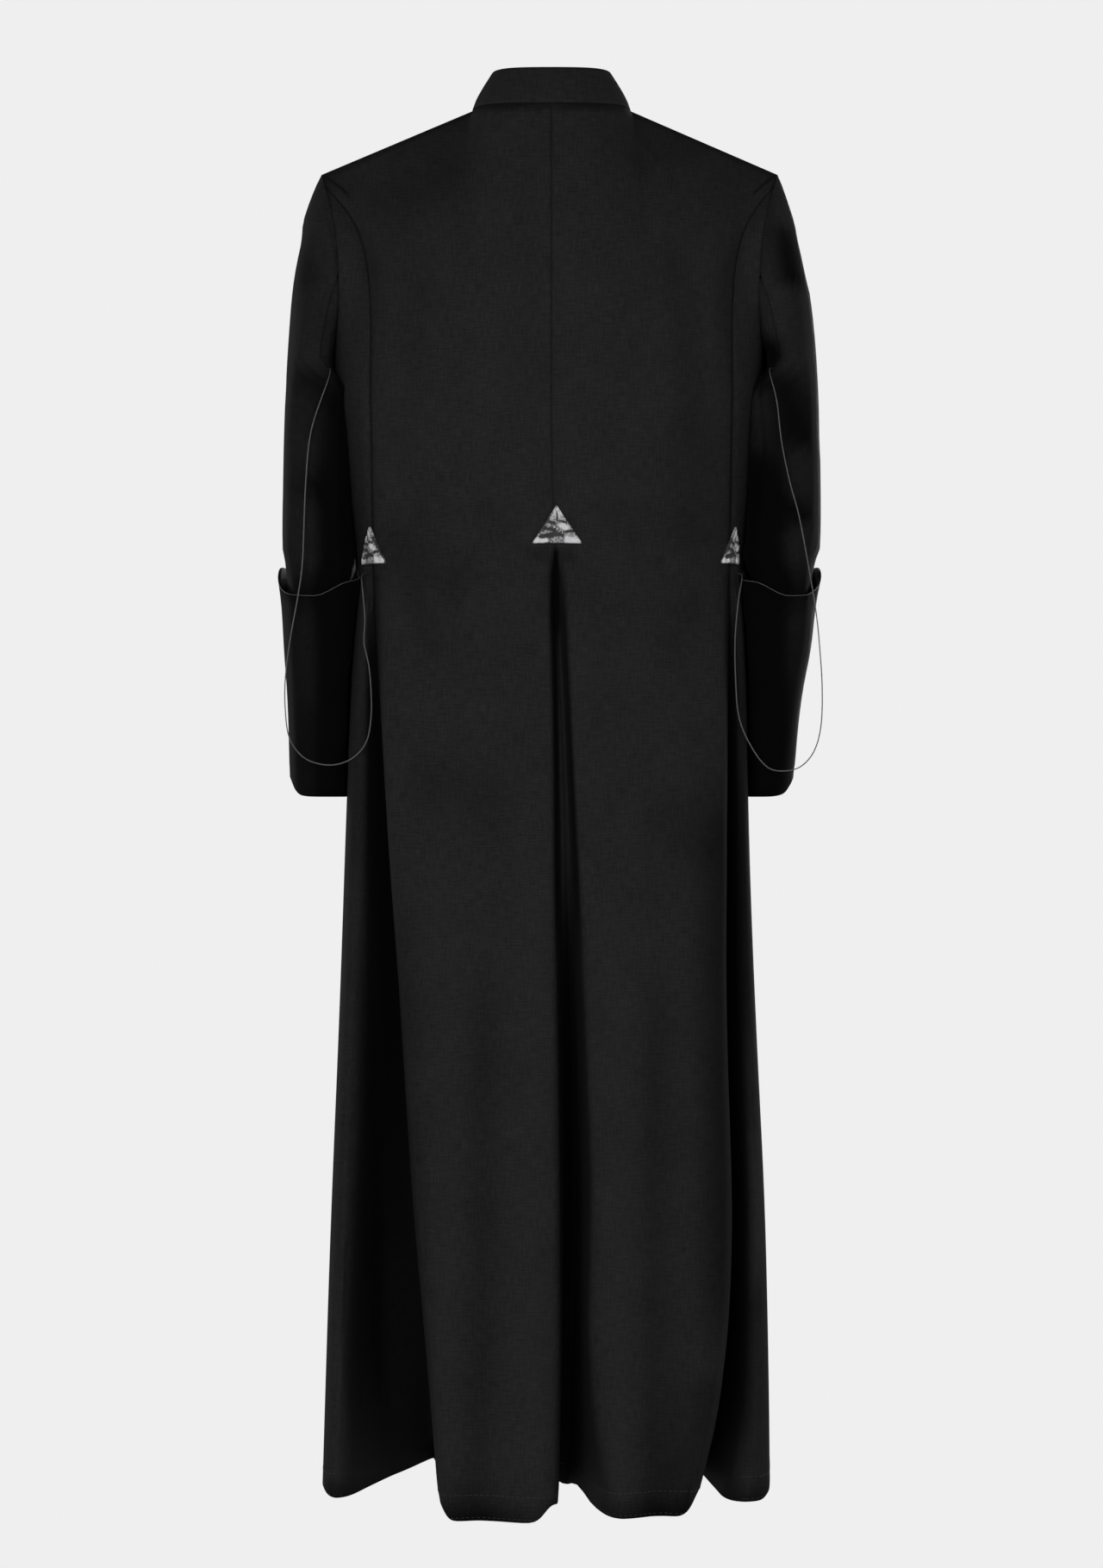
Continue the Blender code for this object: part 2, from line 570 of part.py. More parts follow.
def build_collar(walls, wool):
    """The stand collar, closed all round but for the gap at the centre front."""
    seams, ways, edges = [], [], []
    for side in (-1, 1):
        top = top_edge(side)
        below = body_half(side)[1]
        way = top - below
        seams.append(neck_columns(top))
        way = unit(way)
        way[NECK_COLUMN] = unit(way[NECK_COLUMN] + way[FRONT_NECK_COLUMN])
        ways.append(neck_columns(way))
        edges.append(neck_columns(walls[side][2][0]))
    seam, way, edge = [np.concatenate([pair[0][::-1], pair[1][1:]]) for pair in (seams, ways, edges)]
    base = seam + way * COLLAR_GAP
    middle_y = (NAPE.y + NECK_FRONT.y) / 2
    rows = [base]
    for row in range(1, COLLAR_ROWS + 1):
        share = row / COLLAR_ROWS
        scale = 1 + (COLLAR_TOP_SCALE - 1) * share**1.2
        level = []
        for x, y, z in base:
            front_share = (y - NAPE.y) / (NECK_FRONT.y - NAPE.y)
            height = COLLAR_BACK_HEIGHT + (COLLAR_FRONT_HEIGHT - COLLAR_BACK_HEIGHT) * front_share
            level.append((x * scale, middle_y + (y - middle_y) * (1 + (scale - 1) * 0.85), z + height * share))
        rows.append(np.array(level))
    outer = np.array(rows[::-1])
    normals = inward_normals(outer, 1)
    normals[-1] = edge
    inner = outer + normals * CLOTH
    along = unit(np.gradient(outer, axis=1))
    build_strip("collar", outer, inner, (along[:, 0], along[:, -1]), wool)


def sleeve_ring(table, side, z):
    """Dense closed outline of the sleeve at height z, from its outer point by the back, inside and front."""
    outer, inner = read(table, "outer", z), read(table, "inner", z)
    back, front = read(table, "back", z), read(table, "front", z)
    angles = np.linspace(0, 2 * math.pi, 289)
    power = 2 / SLEEVE_SQUARENESS
    x = (outer + inner) / 2 + (outer - inner) / 2 * np.sign(np.cos(angles)) * abs(np.cos(angles)) ** power
    y = (back + front) / 2 - (front - back) / 2 * np.sign(np.sin(angles)) * abs(np.sin(angles)) ** power
    return np.stack([x * side, y, np.full(len(angles), z)], axis=1)


def sleeve_shares():
    """Place of every sleeve column on its oval: 0 to 1 from outer point to inner by the back, on to 2."""
    ring = top_edge(-1)[TIP_COLUMN:FRONT_TIP_COLUMN + 1]
    shares = [0.0]
    for stretch in (ring[:UNDERARM_COLUMN + 1], ring[UNDERARM_COLUMN:]):
        lengths = np.cumsum(np.linalg.norm(np.diff(stretch, axis=0), axis=1))
        shares += list(len(shares) // UNDERARM_COLUMN + lengths / lengths[-1])
    return np.array(shares[:-1])


def sleeve_points(table, side, heights):
    """Point of every sleeve column, each at its own height."""
    shares = sleeve_shares()
    points = []
    for share, z in zip(shares, heights):
        ring = sleeve_ring(table, side, z)
        half = len(ring) // 2
        stretch = ring[:half + 1] if share < 1 else ring[half:]
        lengths = np.concatenate([[0], np.cumsum(np.linalg.norm(np.diff(stretch, axis=0), axis=1))])
        wanted = (share % 1) * lengths[-1]
        points.append([np.interp(wanted, lengths, stretch[:, k]) for k in range(3)])
    return np.array(points)


def sleeve_walls(table, side, body_normals):
    """Outer and inner points of one sleeve, from the armhole to just above the cuff's foot."""
    seam = top_edge(side)[TIP_COLUMN:FRONT_TIP_COLUMN].copy()
    seam[:, 0] += SEAM_GAP * side
    end_z = CUFF_BOTTOM_Z + CLOTH + SEAM_GAP
    outerness = np.maximum(0.0, np.cos(sleeve_shares() * math.pi))
    rows = [seam]
    for step in range(1, SLEEVE_STEPS + 1):
        share = (step / SLEEVE_STEPS) ** 1.15
        heights = seam[:, 2] + (end_z - seam[:, 2]) * share
        free = smooth_step(0, SLEEVE_BLEND, share)
        quick = math.sqrt(min(1.0, share / SLEEVE_BLEND))
        target = sleeve_points(table, side, heights)
        row = seam + (target - seam) * free
        row[:, 0] = seam[:, 0] + (target - seam)[:, 0] * (1 - (1 - outerness) * (1 - quick))
        row[:, 2] = heights
        rows.append(row)
    outer = np.array(rows)
    wrapped = np.concatenate([outer[:, -1:], outer, outer[:, :1]], axis=1)
    normals = inward_normals(wrapped, -side)[:, 1:-1]
    first = body_normals[0, TIP_COLUMN:FRONT_TIP_COLUMN] * np.array([0.0, 1.0, 1.0])
    first[:, 2] += 0.3 * np.maximum(0.0, 1 - np.linalg.norm(first, axis=1))
    normals[0] = first / np.linalg.norm(first, axis=1, keepdims=True)
    return outer, outer + normals * CLOTH


def build_sleeve(side, body_normals, wool):
    """Upper and under sleeve, cut along the hind-arm and fore-arm seams."""
    name = "left" if side < 0 else "right"
    table = LEFT_SLEEVE if side < 0 else RIGHT_SLEEVE
    outer, inner = sleeve_walls(table, side, body_normals)
    under = list(range(HIND_SEAM, FORE_SEAM + 1))
    upper = [column % SLEEVE_COLUMNS for column in range(FORE_SEAM, SLEEVE_COLUMNS + HIND_SEAM + 1)]
    along = unit(np.roll(outer, -1, axis=1) - np.roll(outer, 1, axis=1))
    for piece, columns in (("sleeve_upper_", upper), ("sleeve_under_", under)):
        ways = along[:, columns[0]], along[:, columns[-1]]
        build_strip(piece + name, outer[:, columns], inner[:, columns], ways, wool)


def cuff_ring(table, side, z_by_column, offset):
    """Points around the sleeve moved straight out by an offset, at a height for each column."""
    points = sleeve_points(table, side, z_by_column)
    wrapped = np.concatenate([points[-1:], points, points[:1]])
    along = np.gradient(wrapped, axis=0)[1:-1]
    outward = np.stack([along[:, 1], -along[:, 0], np.zeros(len(points))], axis=1)
    outward /= np.linalg.norm(outward, axis=1, keepdims=True)
    centre = points.mean(axis=0)
    turn = np.sign(np.sum(outward * (points - centre), axis=1, keepdims=True))
    return points + outward * turn * offset


def build_cuff(side, wool):
    """The deep turned-back cuff: a wall outside the sleeve with a foot turned in under its end."""
    name = "left" if side < 0 else "right"
    table = LEFT_SLEEVE if side < 0 else RIGHT_SLEEVE
    rim = CUFF_RIM_Z - CUFF_RIM_DIP * np.maximum(0, np.sin(sleeve_shares() * math.pi)) ** 2
    outer_rows, inner_rows = [], []
    for step in range(CUFF_STEPS + 1):
        share = step / CUFF_STEPS
        gap = CUFF_GAP_LOW + (CUFF_GAP_HIGH - CUFF_GAP_LOW) * (1 - share) ** 2
        outer_z = rim + (CUFF_BOTTOM_Z - rim) * share
        inner_z = rim + (CUFF_BOTTOM_Z + CLOTH - rim) * share
        outer_rows.append(cuff_ring(table, side, outer_z, gap + CLOTH))
        inner_rows.append(cuff_ring(table, side, inner_z, gap))
    level = np.full(SLEEVE_COLUMNS, CUFF_BOTTOM_Z)
    outer_rows.append(cuff_ring(table, side, level, -CLOTH))
    inner_rows.append(cuff_ring(table, side, level + CLOTH, -CLOTH))
    inner_rows[-1][:, 2] = CUFF_BOTTOM_Z + CLOTH
    build_wall("cuff_" + name, np.array(outer_rows), np.array(inner_rows), wool, closed=True)


def row_at(grid, z):
    """The columns of a body grid read at one height below the chest."""
    rows = grid[YOKE_STEPS:]
    heights = rows[:, 0, 2]
    i = int(np.clip(np.searchsorted(-heights, -z) - 1, 0, len(rows) - 2))
    share = (z - heights[i]) / (heights[i + 1] - heights[i])
    return rows[i] + (rows[i + 1] - rows[i]) * share


def build_arrowhead(name, outline_at, seam_at, base_z, satin):
    """A triangle lying on the cloth, apex up, from the panel's own points moved out."""
    rows, columns = 4, 12
    grid = []
    for r in range(rows + 1):
        share = r / rows
        z = base_z + ARROWHEAD_HEIGHT * 0.97 * (1 - share)
        half = max(ARROWHEAD_HALF_WIDTH * share, 0.0008)
        outline = outline_at(z)
        lengths = np.concatenate([[0], np.cumsum(np.linalg.norm(np.diff(outline, axis=0), axis=1))])
        middle = lengths[seam_at]
        wanted = np.linspace(middle - half, middle + half, columns + 1)
        grid.append(np.stack([np.interp(wanted, lengths, outline[:, k]) for k in range(3)], axis=1))
    grid = np.array(grid)
    normals = inward_normals(grid, 1)
    centre = np.array([0.0, 0.0, base_z])
    if np.sum(normals * (grid - centre)) < 0:
        normals = -normals
    inner = grid + normals * ARROWHEAD_LIFT
    outer = grid + normals * (ARROWHEAD_LIFT + ARROWHEAD_THICKNESS)
    build_wall(name, outer, inner, satin)


def build_arrowheads(left, right, satin):
    """One arrowhead over the centre pleat and one over each side pleat."""
    first_crown = 8

    def across_back(z):
        halves = row_at(left, z)[:0:-1], row_at(right, z)
        ring = np.concatenate(halves)
        flat = np.abs(ring[:, 0] - ring[left.shape[1] - 1, 0]) < 0.02
        ring[flat, 1] = np.minimum(ring[flat, 1], row_at(right, z)[first_crown, 1])
        return ring

    build_arrowhead("arrowhead_centre", across_back, left.shape[1] - 1, CENTRE_ARROW_BASE_Z, satin)
    for grid, name in ((left, "left"), (right, "right")):
        build_arrowhead("arrowhead_" + name, lambda z, grid=grid: row_at(grid, z),
                        SIDE_BACK_SEAM, SIDE_ARROW_BASE_Z, satin)


def build_buttons(grid, wool):
    """Small covered buttons on the left front, 0.3 mm off the cloth and square to it."""
    centre_column = grid.shape[1] - 2
    line = grid[:, centre_column]
    order = np.argsort(line[:, 2])
    profile = ((0.84, 0.0), (1.0, 0.3), (0.72, 0.82), (0.0, 1.0))
    for index in range(BUTTON_COUNT):
        z = BUTTON_TOP_Z - BUTTON_PITCH * index
        y = np.interp(z, line[order, 2], line[order, 1])
        ahead = np.interp(z + 0.006, line[order, 2], line[order, 1])
        behind = np.interp(z - 0.006, line[order, 2], line[order, 1])
        normal = Vector((0.0, 0.012, behind - ahead)).normalized()
        mesh = bmesh.new()
        rings = []
        for radius, height in profile[:-1]:
            circle = bmesh.ops.create_circle(mesh, segments=BUTTON_SEGMENTS, radius=radius * BUTTON_RADIUS)
            bmesh.ops.translate(mesh, verts=circle["verts"], vec=(0, 0, height * BUTTON_HEIGHT))
            rings.append(circle["verts"])
        for low, high in zip(rings, rings[1:]):
            edges = [e for e in mesh.edges if all(v in low for v in e.verts) or all(v in high for v in e.verts)]
            bmesh.ops.bridge_loops(mesh, edges=edges)
        mesh.faces.new(rings[0])
        cap = bmesh.ops.contextual_create(mesh, geom=[
            e for e in mesh.edges if all(v in rings[-1] for v in e.verts)])
        bmesh.ops.poke(mesh, faces=cap["faces"], offset=BUTTON_HEIGHT * (1 - profile[-2][1]))
        turn = Vector((0, 0, 1)).rotation_difference(normal).to_matrix()
        bmesh.ops.rotate(mesh, verts=mesh.verts, matrix=turn)
        seat = Vector((0.0, y, z)) + normal * (SEAM_GAP * 2)
        bmesh.ops.translate(mesh, verts=mesh.verts, vec=seat)
        bmesh.ops.recalc_face_normals(mesh, faces=mesh.faces)
        place(f"button_{index + 1:02d}", mesh, wool)


def build_cord(name, route, material):
    """A thin cord along a smooth curve through its route."""
    points = spaced(through(route, 12), CORD_POINTS - 1)
    data = bpy.data.curves.new(name, "CURVE")
    data.dimensions = "3D"
    data.bevel_depth = CORD_RADIUS
    data.bevel_resolution = 2
    data.use_fill_caps = True
    spline = data.splines.new("POLY")
    spline.points.add(len(points) - 1)
    for node, point in zip(spline.points, points):
        node.co = (*point, 1.0)
    data.materials.append(material)
    bpy.context.collection.objects.link(bpy.data.objects.new(name, data))


def main():
    for leftover in list(bpy.data.objects):
        bpy.data.objects.remove(leftover, do_unlink=True)
    wool = finish("black_wool", (0.011, 0.011, 0.012), 0.72)
    button_wool = finish("button_wool", (0.010, 0.010, 0.011), 0.60)
    satin = finish("grey_satin", (0.16, 0.16, 0.17), 0.32)
    cord = finish("grey_cord", (0.20, 0.20, 0.21), 0.55)
    walls = {side: body_walls(side) for side in (-1, 1)}
    for side in (-1, 1):
        build_body(side, walls[side], wool)
        build_sleeve(side, walls[side][2], wool)
        build_cuff(side, wool)
    build_collar(walls, wool)
    build_arrowheads(walls[-1][0], walls[1][0], satin)
    build_buttons(walls[-1][0], button_wool)
    build_cord("fascia_cord_left", LEFT_CORD, cord)
    build_cord("fascia_cord_right", RIGHT_CORD, cord)


main()
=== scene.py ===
"""The look of a long black cassock, seen from the back, filled out as it is worn.

Metres, +Z up. The back of the garment faces -Y and the wearer's right is +X.
"""

import math
from collections import namedtuple

import bmesh
import bpy
import numpy as np
from mathutils import Matrix, Vector
from mathutils.bvhtree import BVHTree
from mathutils.kdtree import KDTree


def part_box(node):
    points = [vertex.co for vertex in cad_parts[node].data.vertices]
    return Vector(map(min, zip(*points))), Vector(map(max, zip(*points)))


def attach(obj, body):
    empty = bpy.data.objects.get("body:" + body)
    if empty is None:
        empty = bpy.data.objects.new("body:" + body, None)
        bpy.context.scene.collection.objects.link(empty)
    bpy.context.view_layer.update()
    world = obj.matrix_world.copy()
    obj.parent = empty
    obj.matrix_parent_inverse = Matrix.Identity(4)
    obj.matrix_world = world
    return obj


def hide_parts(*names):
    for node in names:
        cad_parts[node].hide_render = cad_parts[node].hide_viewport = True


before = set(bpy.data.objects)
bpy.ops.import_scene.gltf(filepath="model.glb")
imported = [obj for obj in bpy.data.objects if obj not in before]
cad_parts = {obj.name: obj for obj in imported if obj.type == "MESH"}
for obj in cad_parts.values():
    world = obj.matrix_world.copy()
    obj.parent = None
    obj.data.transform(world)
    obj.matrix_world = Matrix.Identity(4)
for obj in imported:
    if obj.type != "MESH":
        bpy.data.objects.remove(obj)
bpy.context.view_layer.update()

# Camera
CAMERA_DISTANCE = 3.4
CAMERA_Z = -0.682
LENS = 76.25
SENSOR = 36.0

# Studio
BACKGROUND = 0.863
STUDIO_AMBIENT = 0.08
FLOOR_Z = -1.78
FLOOR_RADIUS = 60.0
FLOOR_COLOUR = 0.5

# Cords: the same points as in the solids, and two strands twisted round them
STRAND_RADIUS = 0.00036
STRAND_OFFSET = 0.00034
TWIST_PITCH = 0.0040
TWIST_STEPS = 10
# How far the painted shade at each end of a cord reaches in
CORD_END = 0.015
CURVE_SAMPLES = 24
LEFT_CORD = (
    (-0.2268, -0.0754, -0.2680), (-0.2213, -0.0817, -0.2720), (-0.2390, -0.0900, -0.3280),
    (-0.2450, -0.0870, -0.3800), (-0.2485, -0.0830, -0.4570), (-0.2530, -0.0810, -0.4920),
    (-0.2615, -0.0760, -0.5370), (-0.2665, -0.0720, -0.5740), (-0.2670, -0.0700, -0.6050),
    (-0.2630, -0.0700, -0.6350), (-0.2500, -0.0710, -0.6540), (-0.2315, -0.0760, -0.6620),
    (-0.2125, -0.0830, -0.6620), (-0.1955, -0.0900, -0.6540), (-0.1840, -0.0930, -0.6390),
    (-0.1795, -0.0960, -0.6160), (-0.1795, -0.0940, -0.5910), (-0.1820, -0.0900, -0.5640),
    (-0.1870, -0.0860, -0.5410), (-0.1865, -0.0800, -0.5180), (-0.1885, -0.0780, -0.4920),
    (-0.1903, -0.0670, -0.4734), (-0.1838, -0.0616, -0.4700),
)
RIGHT_CORD = (
    (0.2229, -0.0761, -0.2660), (0.2179, -0.0829, -0.2699), (0.2250, -0.0830, -0.3000),
    (0.2295, -0.0860, -0.3400), (0.2375, -0.0870, -0.3800), (0.2475, -0.0850, -0.4170),
    (0.2595, -0.0810, -0.4800), (0.2650, -0.0790, -0.5140), (0.2685, -0.0760, -0.5470),
    (0.2710, -0.0740, -0.5850), (0.2700, -0.0730, -0.6230), (0.2630, -0.0730, -0.6490),
    (0.2495, -0.0740, -0.6645), (0.2320, -0.0770, -0.6690), (0.2155, -0.0810, -0.6650),
    (0.2000, -0.0860, -0.6460), (0.1870, -0.0890, -0.6160), (0.1835, -0.0870, -0.5750),
    (0.1835, -0.0820, -0.5350), (0.1870, -0.0775, -0.4980), (0.1913, -0.0649, -0.4733),
    (0.1848, -0.0595, -0.4700),
)

# Cloth: how smooth it is, and how its rims stay sharp
MERGE = 0.00001
SMOOTHING = 2
RIM_ANGLE = 62.0
RIM_EASE = 8.0
SHARP_ANGLE = 52.0
HEM_Z = -1.393
HEM_NEAR = 0.01
HEM_FREE = 0.02

# Seams: how far the cloth dips into one, how far apart two edges may be and how they close up,
# and which panels are sewn to which
SEAM_PINCH = 0.0013
SEAM_REACH = 0.0050
SLEEVE_PINCH = 0.35
CENTRE_FADE = 0.66
CENTRE_WIDTH = 0.030
SEAM_LIMIT = 0.0040
SEAM_SHARE = 0.56
SEAM_BLEND = 0.0060
SEAMS = {
    "back": ("back", "side", "front", "sleeve", "collar"), "side": ("back", "front", "sleeve"),
    "front": ("back", "side", "sleeve", "collar"), "collar": ("back", "front"),
    "sleeve": ("back", "side", "front", "sleeve"), "cuff": (),
}

# The body and the sleeves as rounds that folds stand out from
BODY_HALF_WIDTH = 0.210
BODY_HALF_DEPTH = 0.140
SLEEVE_X = 0.246
SLEEVE_SWING = 0.02
SLEEVE_FLATNESS = 3.0

# Sleeves drawn in against the body: how near, how far at most, and over what depth of the sleeve
SLEEVE_CLEARANCE = 0.0025
SLEEVE_DRAW = 0.026
SLEEVE_DEPTH = 0.040
GRID_Y = np.linspace(-0.08, 0.08, 17)
GRID_Z = np.linspace(-0.685, -0.295, 17)
GRID_REACH = 0.5

# Bands in which a shape or a painted shade sets in, each from where it is nothing to where it is whole.
# Those of depth are measured towards the back
BACK_DEPTH = (0.02, 0.07)
SIDE_DEPTH = (-0.06, 0.02)
SLEEVE_BACK_DEPTH = (-0.04, 0.02)
SIDE_WIDTH = (0.190, 0.215)
HEM_HEIGHT = (-1.365, -1.393)
SIDE_HEIGHT = (-0.44, -0.50)
SWING_HEIGHT = (-0.30, -0.69)
DRAW_HEIGHT = (-0.252, -0.285)
FOLD_TOP_HEIGHT = (-0.075, -0.11)
FOLD_FOOT_HEIGHT = (-0.69, -0.66)
UPPER_SLEEVE_HEIGHT = (-0.08, -0.20)
ELBOW_HEIGHT = (-0.25, -0.36)
INNER_HEIGHT = (-0.30, -0.40)
INNER_WIDTH = (0.244, 0.222)
CUFF_HEIGHT = (-0.455, -0.480)
CUFF_FOOT_HEIGHT = (-0.655, -0.690)
RIM_RISE_HEIGHT = (-0.560, -0.485)
RIM_TOP_HEIGHT = (-0.440, -0.465)
RIM_RISE_WIDTH = (0.238, 0.202)
LIP_WIDTH = (0.252, 0.270)
DARK_RIM_HEIGHT = (-0.500, -0.480)
DARK_RIM_TOP_HEIGHT = (-0.430, -0.446)
DARK_RIM_INSIDE = (0.222, 0.206)
DARK_RIM_OUTSIDE = (0.260, 0.269)

# Painted shade: the colour painted on cloth that no light is taken to reach, and how much painted shade each
# place takes (painted light where it is below zero)
PAINTED_SHADE_COLOUR = (0.0006, 0.0006, 0.0007)
LIGHTEST = -0.4
DARKEST = 0.98
SHADE_POWER = 1.8
SEAM_SHADE = 0.42
SEAM_SHADE_WIDTH = 0.0016
SLEEVE_SHADE = 0.14
ELBOW_SHADE = 0.14
CUFF_SHADE = 0.30
INNER_SHADE = 0.66
RIM_SHADE = 0.9

# Painted shade of what pleats and sleeves close in: rays from just off the cloth, each way as seen
# from behind or from the front, that may meet other cloth
DEEP_START = 0.0025
DEEP_REACH = 0.10
DEEP_SHADE = 0.68
DEEP_TURN = 0.3
DEEP_MIDDLE = 0.01
DEEP_WAYS = ((0, 1, 0), (0.6, 0.8, 0), (-0.6, 0.8, 0), (0, 0.8, 0.6), (0.86, 0.5, 0), (-0.86, 0.5, 0))

# Soft folds and painted shade, each a line from one place to another as seen from behind: its width, how far
# it lifts the cloth, and how much painted shade it lays on it, painted light where below zero. Lines that
# lift nothing, such as those down the centre pleat, are painted shade alone
FOLD_END = 0.22
FRONT_DROP = 0.03
FRONT_SHARE = 0.6
Fold = namedtuple("Fold", "x z to_x to_z width lift shade")
BACK_FOLDS = (
    Fold(-0.150, -0.100, -0.172, -0.330, 0.016, 0.0022, 0.0),
    Fold(-0.128, -0.130, -0.140, -0.360, 0.018, -0.0016, 0.05),
    Fold(0.150, -0.100, 0.170, -0.330, 0.016, 0.0022, 0.0),
    Fold(0.126, -0.120, 0.142, -0.350, 0.018, -0.0016, 0.08),
    Fold(-0.222, -0.092, -0.080, -0.056, 0.036, 0.0, 0.15),
    Fold(0.140, -0.290, 0.150, -0.475, 0.030, -0.0010, 0.13),
    Fold(-0.175, -0.420, -0.075, -0.500, 0.032, -0.0010, 0.13),
    Fold(-0.060, -0.398, 0.062, -0.395, 0.008, 0.0009, 0.0),
    Fold(-0.150, -0.420, -0.040, -0.412, 0.009, -0.0008, 0.05),
    Fold(0.040, -0.410, 0.150, -0.424, 0.009, -0.0008, 0.05),
    Fold(-0.158, -0.462, -0.100, -0.500, 0.009, 0.0014, 0.0),
    Fold(-0.150, -0.475, -0.112, -0.560, 0.012, -0.0018, 0.10),
    Fold(0.158, -0.462, 0.106, -0.500, 0.009, 0.0014, 0.0),
    Fold(0.152, -0.475, 0.112, -0.560, 0.012, -0.0018, 0.10),
    Fold(-0.016, -0.458, -0.040, -0.600, 0.010, 0.0018, 0.0),
    Fold(0.026, -0.458, 0.052, -0.620, 0.010, 0.0018, 0.0),
    # Painted shade under the centre arrowhead and down the mouth and inside of the centre pleat
    Fold(0.0044, -0.446, 0.0040, -0.480, 0.0020, -0.0020, 0.95),
    Fold(0.0036, -0.456, 0.0044, -0.540, 0.0046, -0.0030, 0.84),
    Fold(-0.030, -0.456, 0.030, -0.458, 0.006, -0.0006, 0.24),
    Fold(0.0028, -0.440, 0.0062, -0.860, 0.0028, 0.0, 0.72),
    Fold(0.0095, -0.440, 0.0280, -0.860, 0.0028, 0.0, 0.60),
    Fold(0.0150, -0.740, 0.0190, -1.393, 0.0095, 0.0, 0.78),
    Fold(0.089, -0.699, 0.174, -0.758, 0.032, -0.0014, 0.13),
    Fold(-0.153, -0.674, -0.021, -0.699, 0.032, -0.0014, 0.11),
    Fold(0.172, -0.620, 0.170, -1.300, 0.024, -0.0010, 0.40),
    Fold(-0.160, -0.758, -0.122, -1.370, 0.022, -0.0010, 0.20),
    Fold(0.170, -1.250, 0.120, -1.390, 0.034, 0.0, 0.26),
    Fold(-0.110, -1.375, -0.070, -1.393, 0.022, 0.0, 0.22),
    Fold(-0.098, -0.700, -0.104, -1.390, 0.020, 0.0030, -0.10),
    Fold(-0.068, -0.800, -0.072, -1.390, 0.018, -0.0030, 0.16),
    Fold(-0.018, -0.720, -0.020, -1.390, 0.018, 0.0026, -0.12),
    Fold(0.070, -0.760, 0.068, -1.390, 0.020, 0.0030, -0.12),
    Fold(0.104, -0.820, 0.102, -1.390, 0.018, -0.0030, 0.16),
    Fold(0.136, -0.700, 0.138, -1.390, 0.018, 0.0024, 0.0),
)
SIDE_FOLDS = (
    Fold(-0.196, -0.500, -0.196, -0.800, 0.010, 0.0, 0.16),
    Fold(-0.187, -0.820, -0.187, -1.350, 0.008, -0.0030, 0.34),
    Fold(-0.168, -1.130, -0.160, -1.340, 0.013, 0.0030, -0.40),
    Fold(-0.145, -0.900, -0.130, -1.340, 0.016, 0.0, 0.24),
    Fold(-0.215, -0.600, -0.226, -1.390, 0.008, 0.0020, -0.10),
    Fold(0.192, -0.500, 0.192, -0.980, 0.010, 0.0, 0.30),
    Fold(0.200, -1.030, 0.202, -1.190, 0.006, 0.0026, -0.60),
    Fold(0.190, -1.150, 0.186, -1.350, 0.012, -0.0024, 0.44),
    Fold(0.216, -0.700, 0.222, -1.390, 0.008, 0.0018, 0.20),
)
FRONT_FOLDS = (
    Fold(-0.145, -0.110, -0.165, -0.340, 0.016, 0.0022, 0.0),
    Fold(0.146, -0.110, 0.163, -0.330, 0.016, 0.0020, 0.0),
    Fold(-0.150, -0.330, -0.060, -0.430, 0.022, -0.0014, 0.16),
    Fold(0.150, -0.330, 0.066, -0.430, 0.022, -0.0014, 0.16),
    Fold(-0.110, -0.520, -0.120, -1.390, 0.022, 0.0034, -0.08),
    Fold(-0.070, -0.560, -0.074, -1.390, 0.018, -0.0028, 0.20),
    Fold(0.078, -0.540, 0.084, -1.390, 0.020, -0.0030, 0.20),
    Fold(0.118, -0.520, 0.130, -1.390, 0.022, 0.0034, -0.08),
)
LEFT_SLEEVE_FOLDS = (
    Fold(-0.262, -0.110, -0.238, -0.190, 0.013, -0.0034, 0.20),
    Fold(-0.236, -0.170, -0.232, -0.250, 0.010, 0.0010, 0.0),
    Fold(-0.259, -0.262, -0.232, -0.318, 0.012, -0.0040, 0.42),
    Fold(-0.230, -0.262, -0.226, -0.330, 0.012, -0.0030, 0.70),
    Fold(-0.226, -0.290, -0.202, -0.480, 0.024, -0.0030, 0.94),
    Fold(-0.262, -0.330, -0.236, -0.372, 0.009, 0.0014, -0.10),
    Fold(-0.262, -0.372, -0.230, -0.412, 0.010, -0.0042, 0.34),
    Fold(-0.254, -0.404, -0.228, -0.444, 0.008, 0.0012, -0.10),
    Fold(-0.252, -0.470, -0.214, -0.484, 0.018, -0.0010, 0.50),
    Fold(-0.262, -0.500, -0.240, -0.620, 0.014, 0.0012, -0.16),
    Fold(-0.214, -0.470, -0.210, -0.720, 0.026, -0.0012, 0.40),
    Fold(-0.278, -0.462, -0.276, -0.504, 0.009, 0.0, 0.85),
)
RIGHT_SLEEVE_FOLDS = (
    Fold(0.238, -0.112, 0.246, -0.186, 0.015, -0.0050, 0.80),
    Fold(0.224, -0.170, 0.232, -0.240, 0.010, 0.0012, -0.10),
    Fold(0.211, -0.230, 0.229, -0.296, 0.012, -0.0040, 0.80),
    Fold(0.241, -0.262, 0.262, -0.354, 0.012, -0.0036, 0.56),
    Fold(0.211, -0.340, 0.206, -0.460, 0.022, -0.0036, 0.94),
    Fold(0.232, -0.330, 0.226, -0.372, 0.010, 0.0010, -0.12),
    Fold(0.223, -0.384, 0.265, -0.420, 0.011, -0.0044, 0.60),
    Fold(0.224, -0.420, 0.252, -0.448, 0.008, 0.0014, -0.10),
    Fold(0.214, -0.474, 0.250, -0.486, 0.018, -0.0010, 0.50),
    Fold(0.256, -0.500, 0.232, -0.590, 0.012, 0.0012, -0.16),
    Fold(0.208, -0.470, 0.208, -0.720, 0.026, -0.0012, 0.40),
    Fold(0.272, -0.462, 0.270, -0.504, 0.009, 0.0, 0.85),
)
